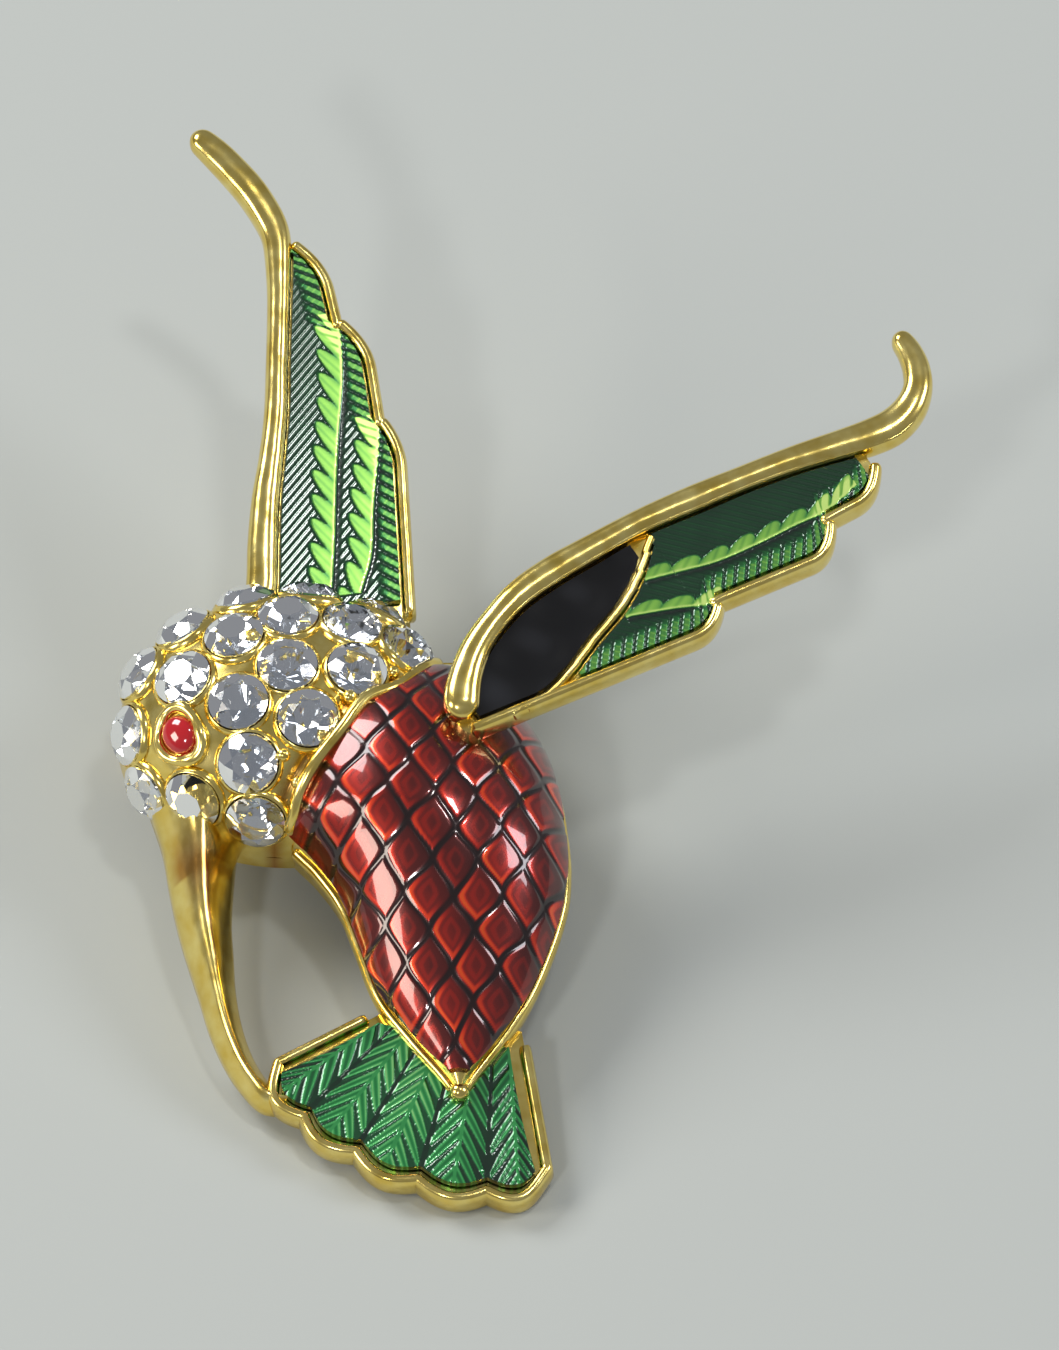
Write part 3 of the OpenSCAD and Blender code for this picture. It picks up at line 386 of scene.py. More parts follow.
# Silver foil with a lacquer on its back, seen through the glass: a cool bright mirror.
foil, tree, shader = blank("silver foil backing")
shader.inputs["Base Color"].default_value = linear("#E9ECF0")
shader.inputs["Metallic"].default_value = 1.0
shader.inputs["Roughness"].default_value = 0.06


def turned(radius, height, count, shift=0.0):
    """Points round a circle at a height, shifted by a share of their spacing."""
    a = 2 * math.pi * (np.arange(count) + shift) / count
    return np.stack([radius * np.cos(a), radius * np.sin(a), np.full(count, height)], -1)


table, mids = turned(0.76, 0.7, 8), turned(1.16, 0.50, 8, 0.5)
high, low = turned(1.5, 0.2, 32), turned(1.5, 0.05, 32)
belly = turned(0.55, -0.78, 8, 0.5)
stone_points = np.concatenate([table, mids, high, low, belly, [[0, 0, -1.2]]])
# First numbers of the girdle's upper and lower edge, of the belly and of the point
H, L, B, A = 16, 48, 80, 88
k = np.arange(8)
nxt = (k + 1) % 8
g = 4 * k
crown = [np.arange(8)[None], np.stack([k, 8 + k, nxt], -1)[:, ::-1],
         np.stack([k, 8 + (k - 1) % 8, H + g, 8 + k], -1)]
crown += [np.stack([8 + k, H + g + s, H + (g + s + 1) % 32], -1) for s in range(4)]
e = np.arange(32)
f = (e + 1) % 32
girdle = [np.stack([H + e, L + e, L + f, H + f], -1)]
pavilion = [np.stack([B + k, L + (g + s + 1) % 32, L + (g + s) % 32], -1) for s in range(4)]
pavilion.append(np.stack([np.full(8, A), B + k, L + g, B + (k - 1) % 8], -1))
groups = crown + girdle + pavilion
# Glass in front, foil on the pavilion
finish_of = np.repeat([0, 1], [sum(map(len, crown + girdle)), sum(map(len, pavilion))])
for number, place in enumerate(SEATS, 1):
    c, s = math.cos(0.37 * number), math.sin(0.37 * number)
    local = stone_points @ np.array([[c, s, 0], [-s, c, 0], [0, 0, 1]])
    piece(f"cut_stone_{number:02d}", (seated(place, local), groups), [glass, foil],
          f"stone_{number:02d}", "clear stone", sharp=1, which=finish_of)

# ---------------------------------------------------------------- eye
# Red enamel, fired to a smooth dome, sits in a thick, uneven ring of gold-plated metal
# that was worked up round it.

EYE_SEAT = [-0.62, -0.35]
RING_SIDES, WIRE_SIDES = 96, 28
a, b = np.meshgrid(np.linspace(0, 2 * np.pi, RING_SIDES, endpoint=False),
                   np.linspace(0, 2 * np.pi, WIRE_SIDES, endpoint=False), indexing="ij")
reach = 1.21 + 0.07 * np.cos(3 * a + 0.6) + 0.05 * np.sin(2 * a)
thick = 0.27 + 0.05 * np.cos(a - 2.2) + 0.03 * np.cos(5 * a)
bezel = np.stack([(reach + thick * np.cos(b)) * np.cos(a), 1.15 * (reach + thick * np.cos(b)) * np.sin(a),
                  0.05 + thick * np.sin(b)], -1)
gold_piece("eye_ring", (seated(EYE_SEAT, bezel).reshape(-1, 3), [loop_faces(RING_SIDES, WIRE_SIDES)]))

# Ruby enamel, fired and glossy: deep red with one sharp highlight.
ruby, tree, shader = blank("ruby enamel")
shader.inputs["Base Color"].default_value = linear("#B0101A")
shader.inputs["Roughness"].default_value = 0.12
shader.inputs["Coat Weight"].default_value = 1.0
shader.inputs["Coat Roughness"].default_value = 0.02
t = np.radians(np.linspace(-89, 89, 40))[:, None]
u = np.radians(np.linspace(0, 360, 64, endpoint=False))[None]
drop = np.stack([0.9 * np.cos(t) * np.cos(u), 1.035 * np.cos(t) * np.sin(u),
                 0.05 + 0.495 * np.sin(t) + 0 * u], -1)
piece("red_eye", closed_rings(seated(EYE_SEAT, drop)), [ruby], "eye_enamel", "ruby enamel")

# ---------------------------------------------------------------- grains and collar
# Small gold balls hold the stones beside the collar, a round gold line that runs
# down between head and breast. Both are cast in one with the head.


def tube(path, half_wide, half_high, sides=24, square=1.0):
    """A rod along a path: each ring is an oval across the path, pressed towards a box
    where square is under 1, and drawn in to a round tip at both ends."""
    path = np.asarray(path, float)
    along = unit(np.gradient(path, axis=0))
    across = unit(np.cross([0, 0, 1.0], along))
    up = np.cross(along, across)
    a = 2 * np.pi * (np.arange(sides) + 0.5) / sides
    c = np.sign(np.cos(a)) * np.abs(np.cos(a)) ** square
    s = np.sign(np.sin(a)) * np.abs(np.sin(a)) ** square
    wide = np.broadcast_to(half_wide, len(path)).astype(float)
    high = np.broadcast_to(half_high, len(path)).astype(float)
    run = np.concatenate([[0], np.cumsum(np.linalg.norm(np.diff(path, axis=0), axis=1))])
    from_end = np.minimum(run, run[-1] - run)
    near = np.sqrt(np.clip(1 - np.clip(1 - from_end / wide, 0, 1) ** 2, 0.0004, 1))
    wide, high = wide * near, high * near
    rings = (path[:, None] + across[:, None] * (wide[:, None] * c)[..., None]
             + up[:, None] * (high[:, None] * s)[..., None])
    return closed_rings(rings)


def ball(centre, radius):
    """A round grain from rings of points."""
    t = np.radians(np.linspace(-88, 88, 24))[:, None]
    u = np.radians(np.linspace(0, 360, 32, endpoint=False))[None]
    return closed_rings(np.asarray(centre) + radius * np.stack(
        [np.cos(t) * np.cos(u), np.cos(t) * np.sin(u), np.sin(t) + 0 * u], -1))


grains = np.array([[0.36, -0.13], [0.61, 0.12], [-0.02, -0.56], [0.06, -0.72], [0.22, -0.42]])
grain_radii = (0.36, 0.34, 0.36, 0.33, 0.26)
gold_piece("grains", joined([ball(p, r) for p, r in zip(on_head(grains), grain_radii)]))
share = np.linspace(0, 1, 160)
line = on_head(glide(COLLAR, share)) + [0.05, 0, 0.12]
gold_piece("collar", tube(line, 0.38, 0.42))

# ---------------------------------------------------------------- body and breast
# The body is a cast shell, open behind. Its breast is sunk a little and filled with
# translucent red enamel over cast scales, inside two thin gold lines.


def on_body(t, a, grow=0.0):
    """Points over the body at shares t of its length and angles a from its crown."""
    y, middle, half, crown = body_at(t)
    return np.stack(np.broadcast_arrays(
        middle + (half + grow) * np.sin(a), y, BODY["side"] + (crown - BODY["side"] + grow) * np.cos(a)), -1)


def body_rings(inset, first, last, steps, sides):
    """Closed rings of the body, arch and flat foot, made smaller by inset."""
    t = np.linspace(first, last, steps)[:, None]
    a = np.radians(np.linspace(90, -90, sides))[None]
    arch = on_body(t, a, -inset)
    foot = arch[:, [-1, 0]].copy()
    foot[..., 2] = 0
    return arch, foot


arch, foot = body_rings(0, 0, 1, 90, 70)
head_side = arch[..., 0] - collar_x(arch[..., 1]) < -0.2
level = head_level(arch[..., 0], arch[..., 1])
covered = np.minimum(arch[..., 2], np.maximum(level - 0.6, 0.1))
arch[..., 2] = np.where(head_side & (level > 0.5), covered, arch[..., 2])
hollow, _ = body_rings(1.4, 0.08, 0.85, 90, 70)
hollow[..., 0, 2] = hollow[..., -1, 2] = 0.0
outside = np.concatenate([foot[:, 1:], arch, foot[:, :1]], 1)
inside = np.concatenate([hollow[:, :1] * [1, 1, 0], hollow, hollow[:, -1:] * [1, 1, 0]], 1)
gold_piece("body_shell", slab(outside, inside), sharp=50)
lines = []
for side, first in ((-1, 0.425), (1, 0.16)):
    t = np.linspace(first, 0.995, 160)
    lines.append(tube(on_body(t, side * math.radians(86)) + [0, 0, 0.1], 0.29, 0.5))
lines.append(ball(on_body(np.array(1.0), 0.0) - [0, 0, 0.35], 0.5))
gold_piece("breast_lines", joined(lines))
strip_x, strip_y = np.meshgrid(np.linspace(-13.5, 4.2, 60), np.linspace(0.3, 4.9, 12), indexing="ij")
strip = np.stack([strip_x, strip_y, 1.2 + 0 * strip_x], -1)
gold_piece("pin_bridge", slab(strip, strip * [1, 1, 0]))


def enamel(name, ramp, metal, rough):
    """Material of a translucent enamel over bright cast metal: its colour comes from
    the depth of the enamel, which is kept at the points, and a clear gloss lies on top."""
    made, tree, shader = blank(name)
    depth = add(tree, "ShaderNodeAttribute", attribute_name="depth")
    place = add(tree, "ShaderNodeTexCoord").outputs["Object"]
    cloud = add(tree, "ShaderNodeTexNoise", {"Vector": place, "Scale": 0.7 * PER_MM, "Detail": 3.0})
    mixed = add(tree, "ShaderNodeMath", {0: cloud.outputs["Fac"], 1: 0.16, 2: -0.08},
                operation="MULTIPLY_ADD")
    total = add(tree, "ShaderNodeMath", {0: depth.outputs["Fac"], 1: mixed.outputs[0]}, operation="ADD")
    tone = add(tree, "ShaderNodeValToRGB", {"Fac": total.outputs[0]})
    stops(tone, ramp)
    tree.links.new(tone.outputs["Color"], shader.inputs["Base Color"])
    shader.inputs["Metallic"].default_value = metal
    shader.inputs["Roughness"].default_value = rough
    shader.inputs["Coat Weight"].default_value = 1.0
    shader.inputs["Coat Roughness"].default_value = 0.04
    return made


def enamel_piece(name, top, under, depth, finish, stands_for, slot):
    """Makes a plate of enamel, with the depth kept at the points of both its faces."""
    piece(name, slab(top, under), [finish], stands_for, slot, sharp=80, depth=np.tile(depth.ravel(), 2))


def frac(v):
    """Part of a number past its whole."""
    return v - np.floor(v)


def random_of(i, j):
    """A fixed number from 0 to 1 for each pair of whole numbers."""
    return frac(np.sin(i * 12.9898 + j * 78.233) * 43758.5453)


def smooth(v, low, high):
    """Soft step from 0 at low to 1 at high."""
    s = np.clip((v - low) / (high - low), 0, 1)
    return s * s * (3 - 2 * s)


def scales(x, y):
    """Depth of the breast's enamel, and the distance in mm from the nearest line: an
    ogee net, whose cells are pointed ovals in staggered columns. A cell is half as
    wide as a blend of a cosine and a zigzag says; every one has a rim, a loop inside it
    and a dark line round it. Painted light makes each cell paler towards its lower
    left, and its rim shows only there."""
    half_x, half_y = 1.13, 1.68
    px = x - 2.75 + 0.13 * np.sin(0.6 * x + 0.45 * y) + 0.08 * np.sin(1.7 * y + x)
    py = y + 9.1 + 0.20 * np.minimum(px, 0) - 0.06 * np.maximum(px, 0) + 0.12 * np.sin(0.9 * x)

    def cell(shift):
        u, v = px / (2 * half_x) - shift, py / (2 * half_y) - shift
        i, j = np.round(u), np.round(v)
        dx, dy = (u - i) * 2 * half_x, (v - j) * 2 * half_y
        bell = 0.55 * np.cos(np.pi * dy / half_y) + 0.45 * (1 - 2 * np.abs(dy) / half_y)
        return half_x / 2 * (1 + bell) - np.abs(dx), dx, dy, i, j + 40 * shift

    first, second = cell(0.0), cell(0.5)
    inner = first[0] > 0
    room, dx, dy, i, j = (np.where(inner, p, q) for p, q in zip(first, second))
    room = np.maximum(room, 0) * 0.8
    chance = random_of(i, j)
    # Painted light: each scale is paler towards its lower left, as if lit from there, with a random spread
    # of tone on top.
    painted_light_and_tone = -0.26 * dx / half_x - 0.20 * dy / half_y + 0.22 * (chance - 0.5)
    rim = smooth(room, 0.10, 0.16) * (1 - smooth(room, 0.30, 0.42))
    loop = smooth(room, 0.48, 0.56) * (1 - smooth(room, 0.66, 0.76))
    depth = 0.72 - 0.42 * rim * smooth(painted_light_and_tone, -0.1, 0.25) - 0.10 * loop - 0.5 * painted_light_and_tone
    line = 1 - smooth(room, 0.08, 0.2)
    return np.clip(depth * (1 - line) + line, 0, 1), room


t = np.linspace(0.05, 0.968, 270)[:, None]
y, middle, half, crown = body_at(t)
edge = np.arcsin(1 - np.clip((0.275 + 0.09) / half, 0, 0.5))
clear = np.arcsin(np.clip((collar_x(y, 4.0) + 0.44 - middle) / half, -1, 1))
left = np.where(t < 0.425, np.maximum(-edge, clear), -edge)
a = left + (edge - left) * np.linspace(0, 1, 160)[None]
flat = on_body(t, a, 0.50)
depth, room = scales(flat[..., 0], flat[..., 1])
skin_top = on_body(t, a, 0.50 - 0.05 * (1 - smooth(room, 0.02, 0.2)))
skin_under = on_body(t, a, 0.10)
# Red enamel, translucent, over cast scales: orange where it is thin, brown-black in
# the lines between the scales.
red = enamel("translucent red enamel", [(0.0, "#FF7A28"), (0.25, "#E83E12"), (0.5, "#A81C0A"),
                                        (0.75, "#5C0E07"), (1.0, "#1C0705")], 0.55, 0.24)
enamel_piece("red_breast", skin_top, skin_under, depth, red, "breast_enamel", "red enamel")

# ---------------------------------------------------------------- beak
# A long beak with a ridge down its back, cast in one with the head, gold-plated and
# polished. It curves in to meet the tail.

BEAK = [
    [0.22, -0.52, 1.35, 1.25], [0.32, -0.51, 1.05, 1.05], [0.42, -0.50, 0.90, 0.94],
    [0.52, -0.48, 0.76, 0.84], [0.62, -0.44, 0.64, 0.74], [0.71, -0.40, 0.52, 0.66],
    [0.80, -0.35, 0.46, 0.58], [0.88, -0.28, 0.42, 0.52], [0.94, -0.20, 0.40, 0.48],
    [0.99, -0.10, 0.38, 0.44], [1.00, 0.02, 0.36, 0.42]]
rows = glide(BEAK, np.linspace(0, 1, 110))
BEAK_LONG, BEAK_WIDE, BEAK_HIGH = 20.6, 3.6, 3.4
centre = np.stack([HEAD["x"] + rows[:, 1] * HEAD["long"], HEAD["y"] - rows[:, 0] * BEAK_LONG,
                   0 * rows[:, 0]], -1)
wide, high = BEAK_WIDE * rows[:, 2:3], BEAK_HIGH * rows[:, 3:4]
section = np.array([[-0.47, 0.0], [0.47, 0.0], [0.5, 0.08], [0.5, 0.32], [0.46, 0.42], [0.30, 0.66],
                    [0.13, 0.92], [0.05, 0.985], [0.0, 1.0], [-0.05, 0.985], [-0.13, 0.92],
                    [-0.31, 0.70], [-0.46, 0.50], [-0.5, 0.40], [-0.5, 0.08]])
along = unit(np.gradient(centre, axis=0))
sideways = np.stack([-along[:, 1], along[:, 0], 0 * along[:, 0]], -1)
sideways = unit(0.55 * sideways + 0.45 * np.array([1.0, 0, 0]))
beak = (centre[:, None] + sideways[:, None] * (wide * section[:, 0])[..., None]
        + np.array([0, 0, 1.0]) * (high * section[:, 1])[..., None])
shape = closed_rings(beak)
# Painted shade: a dark patch high on the beak, just under the face.
beak_shade = np.exp(-((shape[0][:, 1] + 7.5) / 1.6) ** 2) * (shape[0][:, 2] > 2.2)
gold_piece("beak", shape, sharp=30, pit=0.7 * beak_shade)

# ---------------------------------------------------------------- tail
# A flat fan of five feathers, cast with the body and gold-plated. Its scalloped rim
# stands up round a field of green enamel that was fired in.

TAIL_EDGE = [
    [0.00, -0.53, 0.920], [0.10, -0.51, 0.990], [0.22, -0.42, 1.055], [0.38, -0.27, 1.120],
    [0.55, -0.09, 1.180], [0.72, 0.12, 1.215], [0.90, 0.33, 1.215], [1.00, 0.43, 1.170]]
TAIL_ROOT = np.array([[-0.17, 0.80], [0.34, 0.84]])
TAIL_TOP = 1.52


def tail_point(v, w, z):
    """Place in the tail: v of the way round, w from root to edge, whose feather tips
    bulge by half a sine between the notches."""
    v, w = np.broadcast_arrays(np.asarray(v, float), np.asarray(w, float))
    edge = np.stack([follow(TAIL_EDGE, 1, v), follow(TAIL_EDGE, 2, v)], -1)
    root = TAIL_ROOT[0] + v[..., None] * (TAIL_ROOT[1] - TAIL_ROOT[0])
    a, b = (np.stack([BODY["x"] + q[..., 0] * BODY["wide"], BODY["top"] - q[..., 1] * BODY["long"]], -1)
            for q in (root, edge))
    span = np.linalg.norm(b - a, axis=-1)
    bulge = 0.55 * np.abs(np.sin(5 * np.pi * v))
    p = a + (w * (1 + bulge / span))[..., None] * (b - a)
    return np.concatenate([p, np.broadcast_to(z, p.shape[:-1])[..., None]], -1)


w, v = np.meshgrid(np.linspace(0, 1, 12), np.linspace(0, 1, 200), indexing="ij")
rim = np.concatenate([tail_point(0, np.linspace(0.1, 0.98, 30), TAIL_TOP / 2),
                      tail_point(np.linspace(0, 1, 220), 1, TAIL_TOP / 2),
                      tail_point(1, np.linspace(0.98, 0.1, 30), TAIL_TOP / 2)])
gold_piece("tail_plate", joined([slab(tail_point(v, w, 1.0), tail_point(v, w, 0.0)),
                                 tube(rim, 0.33, TAIL_TOP / 2, square=0.75)]), sharp=60)


def leaves(x, y, lean, long_mm, wide_mm):
    """Rows of slim leaves beside a shaft: x runs across from the shaft, y along it.
    Gives how far inside a leaf a point is, from 1 on its spine to 0 at its edge."""
    lower = y - np.abs(x) * lean
    cell = frac(lower / wide_mm) - 0.5
    taper = 1 - np.clip(np.abs(x) / long_mm, 0, 1) ** 2
    return np.clip(1 - np.abs(cell) / (0.5 * (0.35 + 0.6 * taper)), 0, 1)


w, v = np.meshgrid(np.linspace(0, 1, 120), np.linspace(0, 1, 250), indexing="ij")
side = 0.1 - 0.06 * w
vv = side + (1 - 2 * side) * v
ww = 0.13 + (0.93 - 0.13) * w
feather = frac(5 * vv) - 0.5
reach_mm = np.linalg.norm(tail_point(vv, 1, 0) - tail_point(vv, 0, 0), axis=-1)
from_root = ww * reach_mm
across_mm = feather * (0.9 + 2.0 * ww)
inside = leaves(across_mm, from_root + 0.12 * np.sin(9 * vv + 3 * ww), 1.8, 1.25, 1.12)
depth = 0.86 - 0.62 * smooth(inside, 0.12, 0.4) + 0.36 * smooth(inside, 0.5, 0.9)
depth = depth + 0.14 * np.sin(6 * vv + 2.0) + 0.12 * (ww - 0.5)
depth = np.where(np.abs(across_mm) < 0.07, 0.4, depth)
depth = np.where(np.abs(feather) > 0.455, 0.97, depth)
# Leaf green enamel, translucent, over cast barbs: pale on the barbs, near black between.
leaf = enamel("translucent leaf green enamel", [(0.0, "#A6E08A"), (0.25, "#46A85A"), (0.5, "#157A38"),
                                                (0.75, "#084A24"), (1.0, "#03200F")], 0.5, 0.3)
enamel_piece("green_tail", tail_point(vv, ww, 1.50 - 0.05 * (depth > 0.7)), tail_point(vv, ww, 1.13),
             depth, leaf, "tail_enamel", "leaf green enamel")

# ---------------------------------------------------------------- wings
# Each wing is a cast web with a stout rounded bar on its leading edge that ends in a
# horn, and soft scalloped rims round three feathers. Green and black enamel fills it.

# Bars and horns: shares along and across the wing, and half width. Feathers: share
# along where each starts, and shares across at its start and its end. Last in each is
# the notch or tip where the web ends.
RIGHT_BAR = [
    [0.010, 0.06, 0.110], [0.030, 0.20, 0.125], [0.060, 0.33, 0.115], [0.100, 0.45, 0.105],
    [0.150, 0.54, 0.100], [0.210, 0.61, 0.105], [0.280, 0.63, 0.108], [0.360, 0.62, 0.100],
    [0.450, 0.60, 0.094], [0.540, 0.55, 0.100], [0.630, 0.49, 0.094], [0.720, 0.42, 0.100],
    [0.800, 0.34, 0.110], [0.850, 0.29, 0.120]]
LEFT_BAR = [
    [0.030, 0.44, 0.100], [0.100, 0.36, 0.100], [0.180, 0.30, 0.098], [0.260, 0.23, 0.090],
    [0.340, 0.14, 0.080], [0.420, 0.06, 0.076], [0.500, 0.00, 0.073], [0.580, -0.06, 0.073],
    [0.650, -0.11, 0.076], [0.720, -0.15, 0.086], [0.760, -0.16, 0.094]]
RIGHT_HORN = [
    [0.895, 0.270, 0.122], [0.935, 0.310, 0.112], [0.966, 0.400, 0.100], [0.984, 0.520, 0.094],
    [0.992, 0.640, 0.086], [0.993, 0.740, 0.076], [0.991, 0.820, 0.060]]
LEFT_HORN = [
    [0.800, -0.130, 0.100], [0.850, -0.060, 0.102], [0.895, 0.030, 0.100], [0.930, 0.110, 0.096],
    [0.958, 0.185, 0.084], [0.975, 0.235, 0.064]]
RIGHT_FEATHERS = np.array([[0.010, -0.02, -0.330], [0.480, -0.150, -0.300], [0.715, -0.060, -0.090],
                           [0.835, 0.12, 0]])
LEFT_FEATHERS = np.array([[0.000, -0.52, -0.700], [0.385, -0.575, -0.600], [0.580, -0.430, -0.410],
                          [0.740, -0.24, 0]])
RIGHT = dict(long=30.0, wide=7.5, turn=33.0, root=8.0, climb=2.0, bank=0.08,
             start=(BODY["x"] + 0.26 * BODY["wide"] / 2, BODY["top"] - 0.278 * BODY["long"]),
             bar=RIGHT_BAR, horn=RIGHT_HORN, feathers=RIGHT_FEATHERS, rounding=(0.07, 2.2), web_end=0.83)
LEFT = dict(long=28.0, wide=8.0, turn=101.0, root=2.4, climb=4.4, bank=0.06,
            start=(HEAD["x"] + 0.227 * HEAD["long"], HEAD["y"] + 0.74 * HEAD["wide"]),
            bar=LEFT_BAR, horn=LEFT_HORN, feathers=LEFT_FEATHERS, rounding=(0.10, 2.0), web_end=0.73)
DIVIDER = [[0.085, -0.085], [0.150, -0.100], [0.205, -0.045], [0.270, 0.060],
           [0.340, 0.160], [0.395, 0.290], [0.445, 0.470]]


def on_wing(wing, x, y, lift):
    """Plan points from lengths along and across a wing's own sloping face."""
    c, s = math.cos(math.radians(wing["turn"])), math.sin(math.radians(wing["turn"]))
    level = wing["root"] + wing["climb"] * x / wing["long"] + wing["bank"] * y
    return np.stack(np.broadcast_arrays(
        wing["start"][0] + x * c - y * s, wing["start"][1] + x * s + y * c, level + lift), -1)


def trail(wing, s):
    """Share across the wing of its trailing edge: straight along each feather, then
    rounded up to the next notch by a power of the distance left."""
    feathers, rounding = wing["feathers"], wing["rounding"]
    s = np.asarray(s, float)
    i = np.clip(np.searchsorted(feathers[:, 0], s, side="right") - 1, 0, len(feathers) - 2)
    a, b = feathers[i], feathers[i + 1]
    straight = a[..., 1] + (a[..., 2] - a[..., 1]) * (s - a[..., 0]) / (b[..., 0] - a[..., 0])
    near = np.clip(1 - (b[..., 0] - s) / rounding[0], 0, None)
    return straight + (b[..., 1] - a[..., 2]) * near ** rounding[1]


def wing_metal(name, wing):
    """Makes the web, the bar with its horn, and the feather rims of a wing."""
    parts, feathers = [], wing["feathers"]
    along = np.linspace(feathers[0, 0], wing["web_end"], 120)
    s, c = np.meshgrid(along, np.linspace(0, 1, 12), indexing="ij")
    low = trail(wing, s)
    y = (low + (follow(wing["bar"], 1, s) - low) * c) * wing["wide"]
    parts.append(slab(on_wing(wing, s * wing["long"], y, -0.52), on_wing(wing, s * wing["long"], y, -1.32)))
    u = np.linspace(0, 1, 240)
    rows = glide(wing["bar"] + wing["horn"], u)
    slim = np.minimum(1, 0.72 + 1.2 * (1 - u))
    path = on_wing(wing, rows[:, 0] * wing["long"], rows[:, 1] * wing["wide"], -0.34)
    parts.append(tube(path, rows[:, 2] * wing["wide"], 0.85 * slim, sides=36, square=0.8))
    u = np.linspace(0, 1, 90)
    for i in range(len(feathers) - 1):
        first, end = feathers[i, 0] - (0.02 if i else 0), feathers[i + 1, 0]
        s = first + (end - first) * (1 - (1 - u) ** 1.6)
        c = np.where(s < feathers[i, 0], feathers[i, 1], trail(wing, np.minimum(s, end - 0.0005)))
        parts.append(tube(on_wing(wing, s * wing["long"], c * wing["wide"], -0.56), 0.34, 0.74,
                          sides=28, square=0.8))
    gold_piece(name, joined(parts), sharp=60)


wing_metal("left_wing_metal", LEFT)
wing_metal("right_wing_metal", RIGHT)
# The line between black and green, with a jagged edge of 13 teeth, and the thin bright
# bead that follows the inner side of the bar and the horn
u = np.linspace(0, 1, 240)
rows = glide(DIVIDER, u)
jag = 0.04 * (frac(u * 13) - 0.5)
divide = on_wing(RIGHT, (rows[:, 0] + 0.25 * jag) * RIGHT["long"],
                 (rows[:, 1] + 0.35 * jag) * RIGHT["wide"], -0.25)
rows = glide(RIGHT_BAR + RIGHT_HORN, np.linspace(0.12, 0.97, 260))
inner_side = on_wing(RIGHT, rows[:, 0] * RIGHT["long"],
                     (rows[:, 1] - rows[:, 2] * 0.82) * RIGHT["wide"], 0.16)
gold_piece("wing_lines", joined([tube(divide, 0.22, 0.42), tube(inner_side, 0.11, 0.14)]), sharp=60)

RIM_CLEAR, BAR_CLEAR, DIVIDER_CLEAR = 0.42, 0.10, 0.40


def feather_side(wing, s):
    """Border of a wing's enamel along its feather rims, as a length across the wing."""
    return trail(wing, s) * wing["wide"] + RIM_CLEAR


def bar_side(wing, s):
    """Border of a wing's enamel along its bar, as a length across the wing."""
    return (follow(wing["bar"], 1, s) - follow(wing["bar"], 2, s) * 1.04) * wing["wide"] - BAR_CLEAR


def divider_at(s):
    """Length across the right wing of the divider's middle, held still past its ends."""
    return follow(DIVIDER, 1, np.clip(s, DIVIDER[0][0], DIVIDER[-1][0])) * RIGHT["wide"]


def plumes(wing, x, y, lines, pitch, tall, barb):
    """Depth of a wing's enamel. Over each line, given in shares of the wing with its
    first and last place in mm, lies a pale band of leaf-like teeth, pitch apart and up
    to tall high, with a painted highlight along its lower edge and a strip of painted
    shade under that; elsewhere the enamel is deep, crossed by fine slanting barbs, and
    the feathers' edge has a strip of short pale strokes."""
    depth = 0.80 - 0.13 * smooth(np.abs(frac((x + 0.9 * y) / barb) - 0.5), 0.30, 0.5)
    for shares, first, last in lines:
        line = np.array(shares) * [wing["long"], wing["wide"]]
        q = y - follow(line, 1, np.clip(x, line[0][0], line[-1][0]))
        tooth = frac((x - 1.1 * q) / pitch)
        blade = np.sin(np.pi * tooth) ** 0.6
        height = 0.30 + tall * blade
        here = (x > first) & (x < last)
        band = smooth(q, -0.10, 0.02) * (1 - smooth(q, height - 0.12, height + 0.02)) * here
        vein = np.exp(-((tooth - 0.5) / 0.09) ** 2)
        pale = 0.16 + 0.26 * (1 - blade) + 0.08 * np.clip(q / height, 0, 1) + 0.12 * vein
        depth = depth * (1 - band) + pale * band
        # Painted highlight: a thin bright line along the band's lower edge.
        edge = np.exp(-((q + 0.02) / 0.07) ** 2) * here
        depth = depth * (1 - edge) + 0.02 * edge
        # Painted shade: a darker strip just under the band, where it drops to the pool.
        depth = depth + 0.25 * np.exp(-((q + 0.22) / 0.12) ** 2) * here * (1 - band)
    low = y - feather_side(wing, x / wing["long"])
    strip = 1 - smooth(low, 0.5, 1.2)
    slant = frac((x - 0.7 * low) / 0.62)
    depth = depth - 0.42 * strip * (1 - smooth(np.abs(slant - 0.5), 0.2, 0.42))
    return np.clip(depth, 0, 1)


def wing_enamel(name, wing, s, low, high, depth_of, finish, stands_for, slot):
    """Makes a plate of enamel between two borders given as lengths across the wing."""
    c = np.linspace(0, 1, 84)[None]
    x = s[:, None] * wing["long"] + 0 * c
    y = low[:, None] + np.maximum(high - low, 0.15)[:, None] * c
    depth = depth_of(x, y)
    top = on_wing(wing, x, y, -0.05 * smooth(depth, 0.5, 0.9))
    enamel_piece(name, top, on_wing(wing, x, y, -0.4), depth, finish, stands_for, slot)


# Green enamel, translucent, over cast barbs: yellow-green where thin, bottle green deep.
pool = enamel("translucent dark green enamel", [(0.0, "#C6E27A"), (0.22, "#7CB444"), (0.45, "#1E7030"),
                                                (0.75, "#05361A"), (1.0, "#01150A")], 0.5, 0.26)
left_lines = [
    ([[0.06, -0.24], [0.126, -0.349], [0.215, -0.421], [0.306, -0.508], [0.385, -0.575]], 1.6, 10.9),
    ([[0.06, -0.05], [0.158, -0.134], [0.272, -0.22], [0.362, -0.295], [0.47, -0.392], [0.58, -0.44]],
     1.6, 16.6)]
s = np.linspace(0.035, 0.725, 420)
wing_enamel("left_wing_green", LEFT, s, feather_side(LEFT, s), bar_side(LEFT, s),
            lambda x, y: plumes(LEFT, x, y, left_lines, 1.27, 0.95, 0.42),
            pool, "left_wing_enamel", "dark green enamel")

